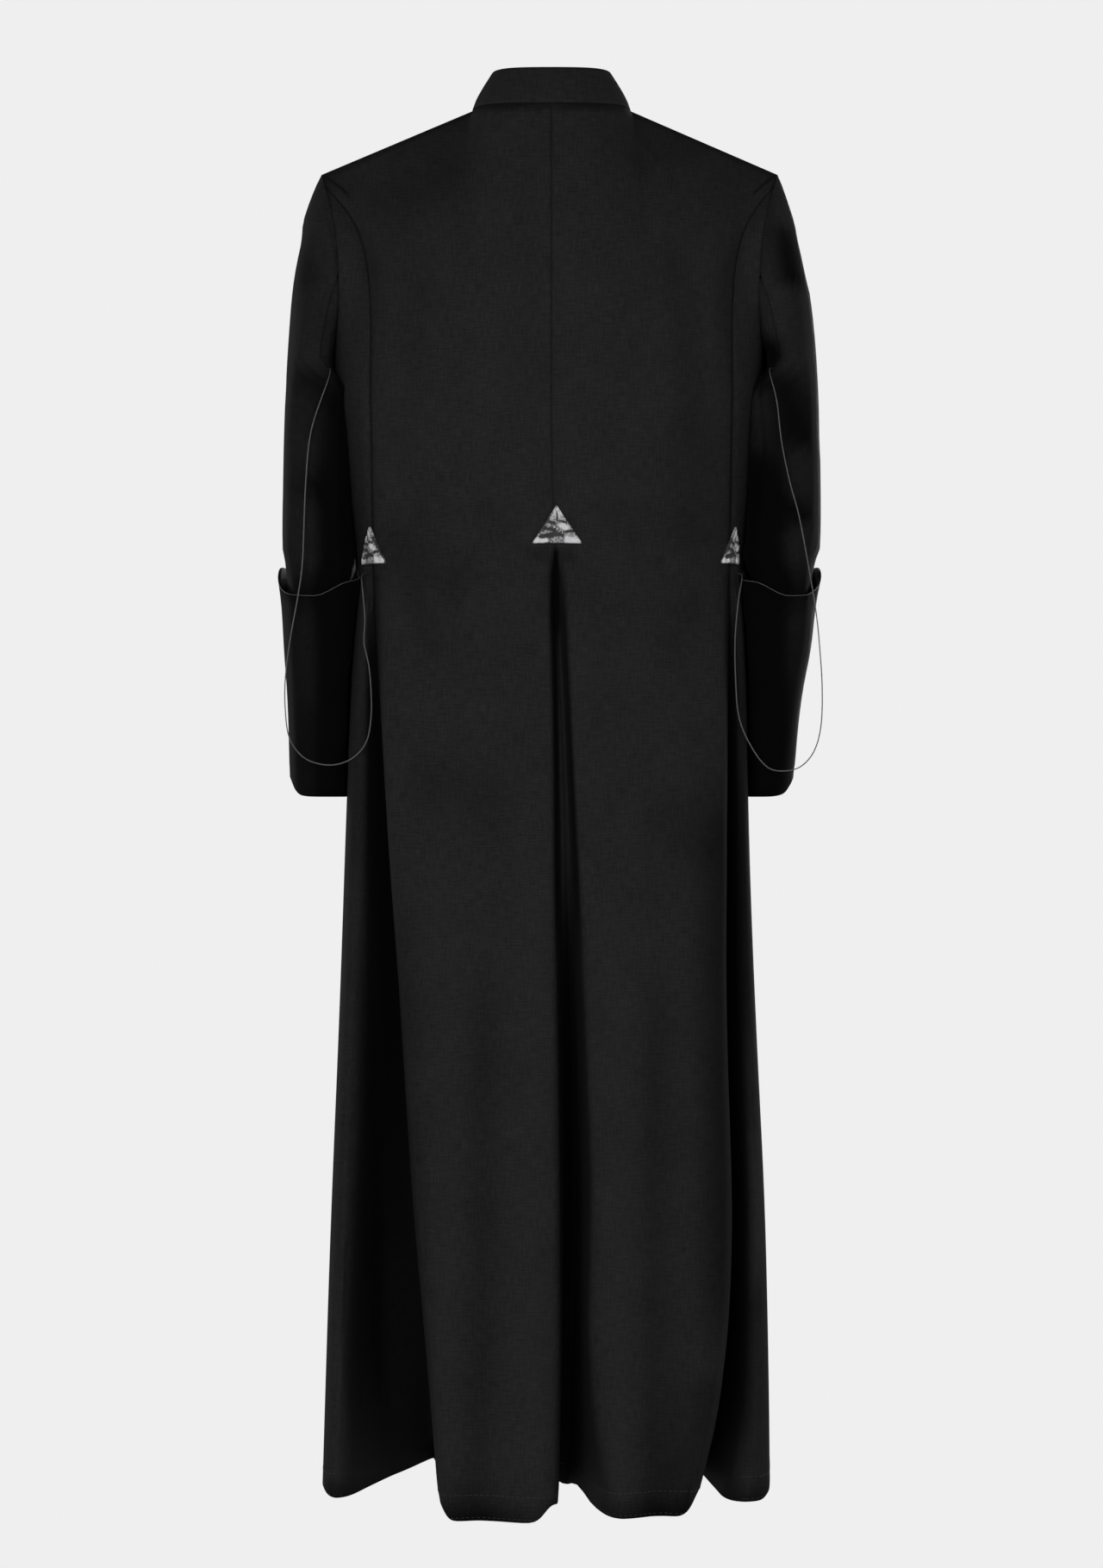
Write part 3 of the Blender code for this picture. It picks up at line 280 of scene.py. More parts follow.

# Cuffs: how far the upper edge rises towards the body, how far its outer end stands up in front
# and is drawn in on the left and the right sleeve, and the painted highlight along its pressed fold: a thin
# tube of lighter colour, kept to the part that faces the back
CUFF_RIM_RISE = 0.014
CUFF_LIP_RISE = 0.010
CUFF_LIP_PULL = (0.0030, 0.0055)
CUFF_EDGE_Z = -0.53
CUFF_EDGE_Y = -0.022
CUFF_EDGE_SLOPE = 0.7
CUFF_EDGE_RADIUS = 0.00034
CUFF_EDGE_LIFT = 0.0002
CUFF_CORNER_RISE = 0.016
CUFF_CORNER_WIDTH = 0.009
CUFF_SAG = 0.005

# Where the hem turns up at the ends of its lobes behind: the place, how far, and how widely
HemTurn = namedtuple("HemTurn", "x rise width")
HEM_TURNS = (
    HemTurn(-0.110, 0.016, 0.009), HemTurn(0.002, 0.016, 0.012), HemTurn(0.026, 0.010, 0.010),
    HemTurn(0.141, 0.014, 0.010), HemTurn(-0.232, 0.012, 0.008), HemTurn(0.222, 0.012, 0.008),
)

# Hem stitching, and the round inside the hem that its places are looked for from
STITCH_RISES = (0.0240, 0.0030)
STITCH_PITCH = 0.0052
STITCH_LENGTH = 0.0034
STITCH_RADIUS = 0.00026
STITCH_LIFT = 0.00008
STITCH_JUMP = 0.012
HEM_HALF_WIDTH = 0.235
HEM_HALF_DEPTH = 0.205
HEM_REACH = 0.3
HEM_PLACES = 1441

# Arrowheads: how narrow each one looks beside its solid, how far it sits to the right and above it,
# and how far its tip leans to the right
Arrow = namedtuple("Arrow", "squeeze shift rise lean")
ARROWHEADS = {
    "centre": Arrow(0.97, 0.0018, 0.0012, 0.0014), "left": Arrow(0.78, 0.0, 0.0, 0.0),
    "right": Arrow(0.62, 0.0, 0.0, 0.0030),
}
ARROW_SMOOTHING = 3
ARROW_RIM_ANGLE = 40.0
ARROW_RIM_LIFT = 0.0007
ARROW_RIM_PLACE = 0.0016
ARROW_RIM_WIDTH = 0.0011
ARROW_EDGE_WIDTH = 0.0007
ARROW_FAN_LIFT = 0.00045
ARROW_FAN_PITCH = 0.0016
ARROW_FAN_WAVE = 0.006
ARROW_DEEPEST = -0.0006
ARROW_BASE = 0.002
ARROW_TIP = 0.0005
ARROW_FAR = 0.02
FAN_BAND = (0.0, 0.003)
CRUSH_BAND = (0.0, 0.004)
# Painted light and shade on the satin: the share of the height over which it lightens towards the tip, and
# the crease depth and bulge height at which the painted shade and the painted highlight are whole
TIP_BAND = (0.60, 0.85)
CREASE_DEPTH = 0.0009
BULGE_HEIGHT = 0.0006

# Creases and bulges of an arrowhead, in shares of its half width and its height
Crush = namedtuple("Crush", "u v to_u to_v width lift")
CRUSHES = (
    Crush(-0.62, 0.42, -0.10, 0.36, 0.0011, -0.0013), Crush(-0.60, 0.17, -0.06, 0.25, 0.0019, -0.0014),
    Crush(0.04, 0.25, 0.20, 0.22, 0.0012, -0.0012), Crush(0.25, 0.31, 0.62, 0.33, 0.0008, -0.0011),
    Crush(-0.05, 0.85, 0.00, 0.60, 0.0008, -0.0009), Crush(0.10, 0.60, 0.34, 0.55, 0.0008, -0.0010),
    Crush(-0.36, 0.58, -0.12, 0.54, 0.0009, -0.0010), Crush(-0.80, 0.08, -0.45, 0.11, 0.0022, 0.0009),
    Crush(0.40, 0.10, 0.85, 0.06, 0.0026, 0.0009), Crush(0.18, 0.48, 0.34, 0.42, 0.0022, 0.0008),
)

# Buttons, as radius and height round their own middle, and buttonholes
BUTTON_PROFILE = (
    (0.0, -0.0028), (0.0052, -0.0028), (0.0064, -0.0016), (0.0066, -0.0004), (0.0061, 0.0009),
    (0.0049, 0.0019), (0.0030, 0.0026), (0.0, 0.0029),
)
BUTTON_SPIN_STEPS = 24
BUTTON_SEAT = 0.0026
BUTTON_REACH = 0.02
BUTTONHOLE_HALF_LENGTH = 0.0078
BUTTONHOLE_HALF_WIDTH = 0.0011
BUTTONHOLE_CORD = 0.00042
BUTTONHOLE_SHIFT = -0.0062
BUTTONHOLE_LIFT = 0.0001
BUTTONHOLE_POINTS = 16
BUTTONHOLE_REACH = 0.1

# Threads and patches of the cloth and the satin: how many a metre holds across and up, where in
# the noise they lie, and how finely they break up
Grain = namedtuple("Grain", "across up depth detail roughness")
SLUBS_UP = Grain(620.0, 70.0, 0.0, 2.0, 0.5)
SLUBS_ACROSS = Grain(80.0, 640.0, 7.0, 2.0, 0.5)
CLOUDS = Grain(24.0, 17.0, 3.0, 3.0, 0.5)
FUZZ = Grain(1100.0, 1100.0, 5.0, 2.0, 0.5)
CRUSHED = Grain(380.0, 520.0, 2.0, 4.0, 0.6)
STREAKS = Grain(900.0, 140.0, 9.0, 3.0, 0.5)
THREAD = 0.00062
WEAVE_DEPTH = 0.00022
SATIN_RIDGE = 0.00085
SATIN_SLANT = 0.35
SATIN_DEPTH = 0.0005
FIBRES = 1400.0
FIBRE_DEPTH = 0.0001


class Wire:
    """A shader value that sums in Python work on."""

    def __init__(self, finish, socket):
        self.finish, self.socket = finish, socket

    def math(self, operation, first, second):
        node = self.finish.node("ShaderNodeMath", {"operation": operation}, {0: first, 1: second})
        return Wire(self.finish, node.outputs[0])

    def __add__(self, other):
        return self.math("ADD", self, other)

    def __radd__(self, other):
        return self.math("ADD", other, self)

    def __sub__(self, other):
        return self.math("SUBTRACT", self, other)

    def __rsub__(self, other):
        return self.math("SUBTRACT", other, self)

    def __mul__(self, other):
        return self.math("MULTIPLY", self, other)

    def __gt__(self, other):
        return self.math("GREATER_THAN", self, other)

    def sine(self):
        return self.math("SINE", self, 0.0)

    def size(self):
        return self.math("ABSOLUTE", self, 0.0)

    def larger(self, other):
        return self.math("MAXIMUM", self, other)


class Finish:
    """A material and its nodes."""

    def __init__(self, name):
        self.material = bpy.data.materials.new(name)
        self.material.use_nodes = True
        self.tree = self.material.node_tree
        self.shader = self.tree.nodes["Principled BSDF"]

    def node(self, kind, settings=None, values=None):
        """Any node: its settings first, then the values or links of its sockets."""
        node = self.tree.nodes.new(kind)
        for key, value in (settings or {}).items():
            setattr(node, key, value)
        for key, value in (values or {}).items():
            if isinstance(value, Wire):
                self.tree.links.new(value.socket, node.inputs[key])
            else:
                node.inputs[key].default_value = value
        return node

    def wire(self, node, output=0):
        return Wire(self, node.outputs[output])

    def noise(self, where, scale, detail, roughness=0.5):
        values = {"Vector": where, "Scale": scale, "Detail": detail, "Roughness": roughness}
        return self.wire(self.node("ShaderNodeTexNoise", None, values), "Fac")

    def grain(self, u, v, grain):
        """Noise of one grain over the cloth's own map."""
        where = self.place(u * grain.across, v * grain.up, grain.depth)
        return self.noise(where, 1.0, grain.detail, grain.roughness)

    def clamped(self, value):
        return self.wire(self.node("ShaderNodeClamp", None, {"Value": value}))

    def hollow(self):
        """The painted shade of each place, as the mesh carries it; below zero it is painted light."""
        return self.wire(self.node("ShaderNodeAttribute", {"attribute_name": "hollow"}), "Fac")

    def across_and_up(self):
        """The two directions of the cloth's own map, in metres."""
        uv = self.node("ShaderNodeUVMap", {"uv_map": "cloth"})
        split = self.node("ShaderNodeSeparateXYZ", None, {0: self.wire(uv)})
        return self.wire(split, "X"), self.wire(split, "Y")

    def place(self, x, y, z):
        return self.wire(self.node("ShaderNodeCombineXYZ", None, {"X": x, "Y": y, "Z": z}))

    def blend(self, share, first, second):
        """One colour shading into another, each a wire or three numbers."""
        colours = [part if isinstance(part, Wire) else (*part, 1.0) for part in (first, second)]
        values = {0: share, 6: colours[0], 7: colours[1]}
        return self.wire(self.node("ShaderNodeMix", {"data_type": "RGBA"}, values), 2)

    def bump(self, height, distance, strength):
        values = {"Height": height, "Distance": distance, "Strength": strength}
        return self.wire(self.node("ShaderNodeBump", None, values))

    def set(self, **sockets):
        for name, value in sockets.items():
            socket = self.shader.inputs[name.replace("_", " ")]
            if isinstance(value, Wire):
                self.tree.links.new(value.socket, socket)
            else:
                socket.default_value = value
        return self.material


def wool_finish(name, dark, light):
    """Fine black wool: plain weave, slubs both ways and a soft sheen, with painted shade and painted light
    from the mesh laid over its colour.
    """
    finish = Finish(name)
    u, v = finish.across_and_up()
    turn = math.pi / THREAD
    warp, weft = (u * turn).sine(), (v * turn).sine()
    over = (warp * weft) > 0.0
    weave = warp.size() * over + weft.size() * (1.0 - over)
    slubs_up, slubs_across = finish.grain(u, v, SLUBS_UP), finish.grain(u, v, SLUBS_ACROSS)
    clouds, fuzz = finish.grain(u, v, CLOUDS), finish.grain(u, v, FUZZ)
    shade = slubs_up * 0.30 + slubs_across * 0.30 + clouds * 0.13 + fuzz * 0.27
    weave_colour = finish.blend(finish.clamped((shade - 0.34) * 3.1), dark, light)
    # Painted light and shade: where the mesh's painted shade is below zero the weave is lightened towards the
    # light wool, and where it is above zero it is darkened towards the painted shade colour.
    hollow = finish.hollow()
    lit = finish.blend((0.0 - hollow).larger(0.0), weave_colour, light)
    colour = finish.blend(hollow.larger(0.0), lit, PAINTED_SHADE_COLOUR)
    rough = 0.64 + slubs_up * 0.16 + clouds * 0.08
    height = weave * 0.55 + slubs_up * 0.8 + slubs_across * 0.6 + fuzz * 0.5
    normal = finish.bump(height, WEAVE_DEPTH, 0.8)
    return finish.set(Base_Color=colour, Roughness=rough, Normal=normal, Specular_IOR_Level=0.03,
                      Sheen_Weight=0.008, Sheen_Roughness=0.5, Sheen_Tint=(0.6, 0.6, 0.62, 1.0))


def satin_finish():
    """Grey satin stitch in fine ridges and crushed bumps, with patches of painted highlight and painted
    shade.
    """
    finish = Finish("satin_stitch")
    u, v = finish.across_and_up()
    ridges = ((v + u * SATIN_SLANT) * (math.pi / SATIN_RIDGE)).sine().size()
    crush, streak = finish.grain(u, v, CRUSHED), finish.grain(u, v, STREAKS)
    # Painted light and shade: noise patches painted as crushed highlights and dark creases, with the mesh's
    # painted shade darkening it (lightening it below zero); the two colours are the satin shaded and lit.
    shade = (crush * 0.65 + streak * 0.35 - 0.40) * 3.6 - finish.hollow() * 1.2
    colour = finish.blend(finish.clamped(shade), (0.012, 0.012, 0.013), (0.52, 0.52, 0.53))
    rough = 0.26 + crush * 0.30
    normal = finish.bump(ridges * 0.5 + crush * 1.6 + streak * 0.6, SATIN_DEPTH, 0.9)
    return finish.set(Base_Color=colour, Roughness=rough, Normal=normal, Specular_IOR_Level=0.55,
                      Sheen_Weight=0.2, Sheen_Roughness=0.3)


def plain_finish(name, colour, roughness):
    """One colour of thread or cord with a little fibre in it, darkened by the painted shade that its mesh
    carries.
    """
    finish = Finish(name)
    where = finish.wire(finish.node("ShaderNodeTexCoord"), "Object")
    fibre = finish.noise(where, FIBRES, 2.0)
    dark = tuple(part * 0.55 for part in colour)
    # Painted shade: the mesh's attribute darkens the fibre colour towards the painted shade colour.
    shade = finish.blend(finish.hollow(), finish.blend(fibre, dark, colour), PAINTED_SHADE_COLOUR)
    normal = finish.bump(fibre, FIBRE_DEPTH, 0.6)
    return finish.set(Base_Color=shade, Roughness=roughness, Normal=normal, Specular_IOR_Level=0.3)


def smooth_step(low, high, value):
    """0 below low, 1 above high and a smooth rise between, for arrays."""
    t = np.clip((value - low) / (high - low), 0.0, 1.0)
    return t * t * (3 - 2 * t)


def coordinates(mesh):
    points = np.empty(len(mesh.vertices) * 3)
    mesh.vertices.foreach_get("co", points)
    return points.reshape(-1, 3)


def piece(name, mesh, material):
    """A finished object that rides on the garment."""
    obj = bpy.data.objects.new(name, mesh)
    bpy.context.scene.collection.objects.link(obj)
    mesh.materials.clear()
    mesh.materials.append(material)
    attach(obj, "root")
    return obj


def from_bmesh(name, shape):
    mesh = bpy.data.meshes.new(name)
    shape.to_mesh(mesh)
    shape.free()
    return mesh


def merged_copy(node):
    """A node's wall as joined four-sided faces."""
    shape = bmesh.new()
    shape.from_mesh(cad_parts[node].data)
    bmesh.ops.remove_doubles(shape, verts=shape.verts, dist=MERGE)
    bmesh.ops.join_triangles(shape, faces=shape.faces, angle_face_threshold=math.pi,
                             angle_shape_threshold=math.pi)
    return shape


def sharp_edges(shape, angle):
    """Edges whose two faces turn by more than an angle in degrees."""
    turn = math.radians(angle)
    return [edge for edge in shape.edges if len(edge.link_faces) == 2 and edge.calc_face_angle(0.0) > turn]


def smoothed(name, shape, levels, rim_angle=RIM_ANGLE):
    """The wall subdivided smooth, with its rims kept sharp, and which points are on those rims."""
    crease = shape.edges.layers.float.new("crease_edge")
    for edge in sharp_edges(shape, rim_angle):
        edge[crease] = 1.0
    coarse = bpy.data.objects.new(name + "_coarse", from_bmesh(name + "_coarse", shape))
    bpy.context.scene.collection.objects.link(coarse)
    rounding = coarse.modifiers.new("smooth", "SUBSURF")
    rounding.levels = rounding.render_levels = levels
    rounding.use_limit_surface = False
    graph = bpy.context.evaluated_depsgraph_get()
    mesh = bpy.data.meshes.new_from_object(coarse.evaluated_get(graph))
    bpy.data.objects.remove(coarse, do_unlink=True)
    mesh.name = name
    fine = bmesh.new()
    fine.from_mesh(mesh)
    rim = np.zeros(len(mesh.vertices), dtype=bool)
    for edge in sharp_edges(fine, rim_angle - RIM_EASE):
        rim[[vert.index for vert in edge.verts]] = True
    fine.free()
    return mesh, rim


def fold_lift(points, folds):
    """How far a table of folds lifts each point and how much painted shade it lays on it (painted light where
    below zero), as seen from behind.
    """
    lift, shade = np.zeros(len(points)), np.zeros(len(points))
    view = points[:, [0, 2]]
    for fold in folds:
        start, end = np.array([fold.x, fold.z]), np.array([fold.to_x, fold.to_z])
        way = end - start
        along = np.clip(((view - start) @ way) / (way @ way), 0.0, 1.0)
        away = np.linalg.norm(view - start - along[:, None] * way, axis=1)
        ends = smooth_step(0.0, FOLD_END, along)
        if fold.to_z > HEM_Z + HEM_NEAR:
            ends = ends * smooth_step(0.0, FOLD_END, 1 - along)
        reach = np.exp(-(away / fold.width) ** 2) * ends
        lift += fold.lift * reach
        shade += fold.shade * reach
    return lift, shade


def level_way(x, y):
    """Directions of unit length, level with the floor."""
    way = np.stack([x, y, np.zeros(len(x))], axis=1)
    return way / np.maximum(np.linalg.norm(way, axis=1, keepdims=True), 1e-9)


def body_out(points):
    """Outward direction of the body at each point."""
    return level_way(points[:, 0] / BODY_HALF_WIDTH**2, points[:, 1] / BODY_HALF_DEPTH**2)


def sleeve_out(points):
    """Outward direction of a sleeve at each point."""
    side = np.sign(points[:, 0].mean())
    middle_y = SLEEVE_SWING * smooth_step(*SWING_HEIGHT, points[:, 2])
    return level_way((points[:, 0] - SLEEVE_X * side) * SLEEVE_FLATNESS, points[:, 1] - middle_y)


def folded_body(points):
    """Body points with the soft folds of the back and the front, and the painted shade that goes with them.
    """
    behind = smooth_step(*BACK_DEPTH, -points[:, 1])
    ahead = smooth_step(*BACK_DEPTH, points[:, 1])
    back_lift, back_shade = fold_lift(points, BACK_FOLDS)
    front_lift, front_shade = fold_lift(points, FRONT_FOLDS)
    moved = points + body_out(points) * (back_lift * behind + front_lift * ahead)[:, None]
    beside = smooth_step(*SIDE_WIDTH, np.abs(points[:, 0]))
    low = smooth_step(*HEM_HEIGHT, points[:, 2]) * np.maximum(behind, beside)
    for turn in HEM_TURNS:
        moved[:, 2] += turn.rise * np.exp(-((points[:, 0] - turn.x) / turn.width) ** 2) * low
    return moved, back_shade * behind + front_shade * ahead


def folded_side(points):
    """Side panel points with the folds of the back and front and those of the side itself, and their painted
    shade.
    """
    moved, shade = folded_body(points)
    beside = smooth_step(*SIDE_DEPTH, -points[:, 1]) * smooth_step(*SIDE_HEIGHT, points[:, 2])
    side_lift, side_shade = fold_lift(points, SIDE_FOLDS)
    return moved + body_out(points) * (side_lift * beside)[:, None], shade + side_shade * beside


def folded_sleeve(points):
    """Sleeve points with folds behind and the same folds a little lower in front, and the cuff's edges, with
    the painted shade of the folds and of the sleeve.
    """
    folds = LEFT_SLEEVE_FOLDS if points[:, 0].mean() < 0 else RIGHT_SLEEVE_FOLDS
    behind = smooth_step(*SLEEVE_BACK_DEPTH, -points[:, 1])
    ahead = (1 - behind) * FRONT_SHARE
    back_lift, back_shade = fold_lift(points, folds)
    front_lift, front_shade = fold_lift(points + np.array([0.0, 0.0, FRONT_DROP]), folds)
    free = smooth_step(*FOLD_TOP_HEIGHT, points[:, 2]) * smooth_step(*FOLD_FOOT_HEIGHT, points[:, 2])
    lift = (back_lift * behind + front_lift * ahead) * free
    moved = drawn_to_body(points) + sleeve_out(points) * lift[:, None]
    inward = np.abs(moved[:, 0])
    shade = sleeve_shade(points[:, 2], inward, behind)
    return shaped_cuff(points, moved, inward, behind), back_shade * behind + front_shade * ahead + shade


def sleeve_shade(height, inward, behind):
    """How much painted shade darkens a sleeve down its length, towards the body and inside the cuff's edge.
    """
    shade = SLEEVE_SHADE * smooth_step(*UPPER_SLEEVE_HEIGHT, height)
    shade += ELBOW_SHADE * smooth_step(*ELBOW_HEIGHT, height) + CUFF_SHADE * smooth_step(*CUFF_HEIGHT, height)
    shade += INNER_SHADE * smooth_step(*INNER_HEIGHT, height) * smooth_step(*INNER_WIDTH, inward) * behind
    rim = smooth_step(*DARK_RIM_HEIGHT, height) * smooth_step(*DARK_RIM_TOP_HEIGHT, height)
    sides = smooth_step(*DARK_RIM_INSIDE, inward) + smooth_step(*DARK_RIM_OUTSIDE, inward)
    return shade + RIM_SHADE * rim * sides


def shaped_cuff(points, moved, inward, behind):
    """Moved sleeve points with the cuff's lower corner turned up and its upper edge raised and drawn in."""
    low = smooth_step(*CUFF_FOOT_HEIGHT, points[:, 2])
    reach = np.abs(points[:, 0])
    outer = reach[low > 0.5].max() if (low > 0.5).any() else 1.0
    corner = np.exp(-((outer - reach) / CUFF_CORNER_WIDTH) ** 2)
    high = smooth_step(*RIM_RISE_HEIGHT, points[:, 2]) * smooth_step(*RIM_TOP_HEIGHT, points[:, 2])
    lip = high * smooth_step(*LIP_WIDTH, inward)
    moved[:, 2] += (CUFF_CORNER_RISE * corner - CUFF_SAG * (1 - corner)) * low
    moved[:, 2] += CUFF_RIM_RISE * high * smooth_step(*RIM_RISE_WIDTH, inward) * behind
    moved[:, 2] += CUFF_LIP_RISE * lip * (1 - behind)
    moved[:, 0] -= np.sign(points[:, 0]) * CUFF_LIP_PULL[int(points[:, 0].mean() > 0)] * lip
    return moved


def node_tree(names):
    """One search tree of several nodes' faces."""
    shape = bmesh.new()
    for name in names:
        shape.from_mesh(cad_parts[name].data)
    tree = BVHTree.FromBMesh(shape)
    shape.free()
    return tree


def unfolded(points):
    """Points left where they are, with no shade of their own."""
    return points, np.zeros(len(points))


def sleeve_room(side):
    """Where a sleeve's inner side is and how far it stands from the body, over a grid of places."""
    sign = -1 if side == "left" else 1
    body_tree = node_tree([f"{panel}_{side}" for panel in ("back", "side", "front")])
    sleeve_tree = node_tree([f"{panel}_{side}" for panel in ("sleeve_upper", "sleeve_under", "cuff")])
    inner, room = np.ones((len(GRID_Z), len(GRID_Y))), np.zeros((len(GRID_Z), len(GRID_Y)))
    for row, z in enumerate(GRID_Z):
        found = []
        for y in GRID_Y:
            body_hit = body_tree.ray_cast(Vector((sign * GRID_REACH, y, z)), Vector((-sign, 0, 0)))[0]
            sleeve_hit = sleeve_tree.ray_cast(Vector((0, y, z)), Vector((sign, 0, 0)))[0]
            if body_hit and sleeve_hit:
                found.append((y, abs(sleeve_hit.x), abs(sleeve_hit.x) - abs(body_hit.x)))
        if found:
            found = np.array(found)
            inner[row] = np.interp(GRID_Y, found[:, 0], found[:, 1])
            room[row] = np.interp(GRID_Y, found[:, 0], found[:, 2])
    return inner, room


def over_grid(table, points):
    """Values of a grid table at each point's y and z."""
    rows = np.array([np.interp(points[:, 1], GRID_Y, row) for row in table])
    place = np.clip((points[:, 2] - GRID_Z[0]) / (GRID_Z[1] - GRID_Z[0]), 0, len(GRID_Z) - 1.001)
    low = place.astype(int)
    share = place - low
    columns = np.arange(len(points))
    return rows[low, columns] * (1 - share) + rows[low + 1, columns] * share


def drawn_to_body(points):
    """Sleeve points with the inner side hanging against the body."""
    side = "left" if points[:, 0].mean() < 0 else "right"
    inner, room = sleeve_rooms[side]
    depth = np.abs(points[:, 0]) - over_grid(inner, points)
    near = 1 - smooth_step(0.0, SLEEVE_DEPTH, depth)
    free = smooth_step(*DRAW_HEIGHT, points[:, 2])
    draw = np.clip(over_grid(room, points) - SLEEVE_CLEARANCE, 0.0, SLEEVE_DRAW) * near * free
    moved = points.copy()
    moved[:, 0] -= np.sign(points[:, 0]) * draw
    return moved


def kind(node):
    """The sort of panel that a node is."""
    return node.split("_")[0]


def close_seams(cloths):
    """Edges of neighbouring panels brought together, each a little over half way."""
    trees = {name: trees_of([cloth]) for name, (cloth, _, _) in cloths.items()}
    moved = {}
    for name, (cloth, rim, away) in cloths.items():
        points = coordinates(cloth.data)
        partners = [tree for other, tree in trees.items()
                    if other != name and kind(other) in SEAMS[kind(name)]]
        edge = np.nonzero(rim)[0]
        steps = np.zeros((len(edge), 3))
        near_edge = KDTree(max(len(edge), 1))
        for row, index in enumerate(edge):
            point = Vector(points[index])
            near_edge.insert(point, row)
            best, reach = None, SEAM_LIMIT
            for tree in partners:
                place, _, _, gap = tree.find_nearest(point, reach)
                if place is not None and gap < reach:
                    best, reach = place, gap
            if best is not None:
                steps[row] = (best - point) * SEAM_SHARE
        near_edge.balance()
        for index in np.nonzero((away < SEAM_BLEND * 2) & ~rim)[0]:
            _, row, gap = near_edge.find(Vector(points[index]))
            points[index] = points[index] + steps[row] * math.exp(-(gap / SEAM_BLEND) ** 2)
        points[edge] += steps
        moved[name] = points
    for name, (cloth, _, _) in cloths.items():
        cloth.data.vertices.foreach_set("co", moved[name].ravel())
        cloth.data.update()


def deepen(cloths):
    """Lays painted shade on the cloth where pleats and sleeves close it in, by how much of the view out is
    blocked.
    """
    tree = trees_of([cloth for cloth, _, _ in cloths.values()])
    for cloth, _, _ in cloths.values():
        points = coordinates(cloth.data)
        hollow = np.empty(len(points))
        cloth.data.attributes["hollow"].data.foreach_get("value", hollow)
        normals = np.empty(len(points) * 3)
        cloth.data.vertices.foreach_get("normal", normals)
        facing = normals[1::3]
        ways = np.where(np.abs(facing) > DEEP_TURN, np.sign(facing), np.sign(points[:, 1] - DEEP_MIDDLE))
        for index, (point, way) in enumerate(zip(points, ways)):
            start = Vector((point[0], point[1] + way * DEEP_START, point[2]))
            blocked = sum(tree.ray_cast(start, Vector((x, way * y, z)), DEEP_REACH)[0] is not None
                          for x, y, z in DEEP_WAYS)
            hollow[index] = 1 - (1 - hollow[index]) * (1 - DEEP_SHADE * (blocked / len(DEEP_WAYS)))
        cloth.data.attributes["hollow"].data.foreach_set("value", hollow)


def pinch(points, rim, out, strength):
    """Seam edges drawn in a little where two panels are sewn together, and how far off each point is."""
    edge = points[rim]
    tree = KDTree(len(edge))
    for index, point in enumerate(edge):
        tree.insert(point, index)
    tree.balance()
    away = np.array([tree.find(point)[2] for point in points])
    seam = points[:, 2] > HEM_Z + HEM_FREE
    drawn = points - out * (SEAM_PINCH * strength * np.exp(-(away / SEAM_REACH) ** 2) * seam)[:, None]
    return drawn, away


def lay_weave(mesh):
    """A map in metres: across the cloth and up it, by the way that each face looks."""
    layer = mesh.uv_layers.new(name="cloth")
    points = coordinates(mesh)
    corners = np.empty(len(mesh.loops), dtype=np.int64)
    mesh.loops.foreach_get("vertex_index", corners)
    normals = np.empty(len(mesh.polygons) * 3)
    mesh.polygons.foreach_get("normal", normals)
    totals = np.empty(len(mesh.polygons), dtype=np.int64)
    mesh.polygons.foreach_get("loop_total", totals)
    sideways = np.abs(normals.reshape(-1, 3)[:, 0]) > np.abs(normals.reshape(-1, 3)[:, 1])
    sideways = np.repeat(sideways, totals)
    corner_points = points[corners]
    across = np.where(sideways, corner_points[:, 1], corner_points[:, 0])
    layer.data.foreach_set("uv", np.stack([across, corner_points[:, 2]], axis=1).ravel())


def set_hollow(mesh, shade):
    """Stores the painted shade of each point, painted light where it is below zero, for the materials to
    read.
    """
    mesh.attributes.new("hollow", "FLOAT", "POINT").data.foreach_set("value", shade)


def cloth_piece(node, panel, material):
    """A node's wall made smooth, folded and drawn in at its seams, standing for that node."""
    mesh, rim = smoothed(node + "_cloth", merged_copy(node), SMOOTHING)
    points = coordinates(mesh)
    strength = panel.pinched * (1 - CENTRE_FADE * np.exp(-(points[:, 0] / CENTRE_WIDTH) ** 2))
    drawn, away = pinch(points, rim, panel.out(points), strength)
    # Painted shade along the seams, fading at the centre back as the pinch does
    seam = np.exp(-(away / SEAM_SHADE_WIDTH) ** 2) * SEAM_SHADE * strength
    points, shade = panel.shaped(drawn)
    mesh.vertices.foreach_set("co", points.ravel())
    mesh.update()
    # The painted shade of the folds, the sleeve and the seams, eased so that it darkens quickly; below zero
    # it stays painted light
    shade = np.clip(shade + seam, LIGHTEST, DARKEST)
    set_hollow(mesh, np.where(shade > 0, 1 - (1 - np.maximum(shade, 0)) ** SHADE_POWER, shade))
    lay_weave(mesh)
    mesh.shade_smooth()
    mesh.set_sharp_from_angle(angle=math.radians(SHARP_ANGLE))
    cloth = piece(node + "_cloth", mesh, material)
    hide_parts(node)
    cloths[node] = (cloth, rim, away)
    return cloth


def wall_area(obj):
    """Half the surface of a closed wall: the area of its cloth."""
    areas = np.empty(len(obj.data.polygons))
    obj.data.polygons.foreach_get("area", areas)
    return float(areas.sum()) / 2


def panel_cloth(node, panel, material):
    """One panel's cloth; the area it takes, at most that of the rectangle that it is cut from, is worked out
    but not used.
    """
    cloth = cloth_piece(node, panel, material)
    area = min(wall_area(cloth), panel.width * panel.length)


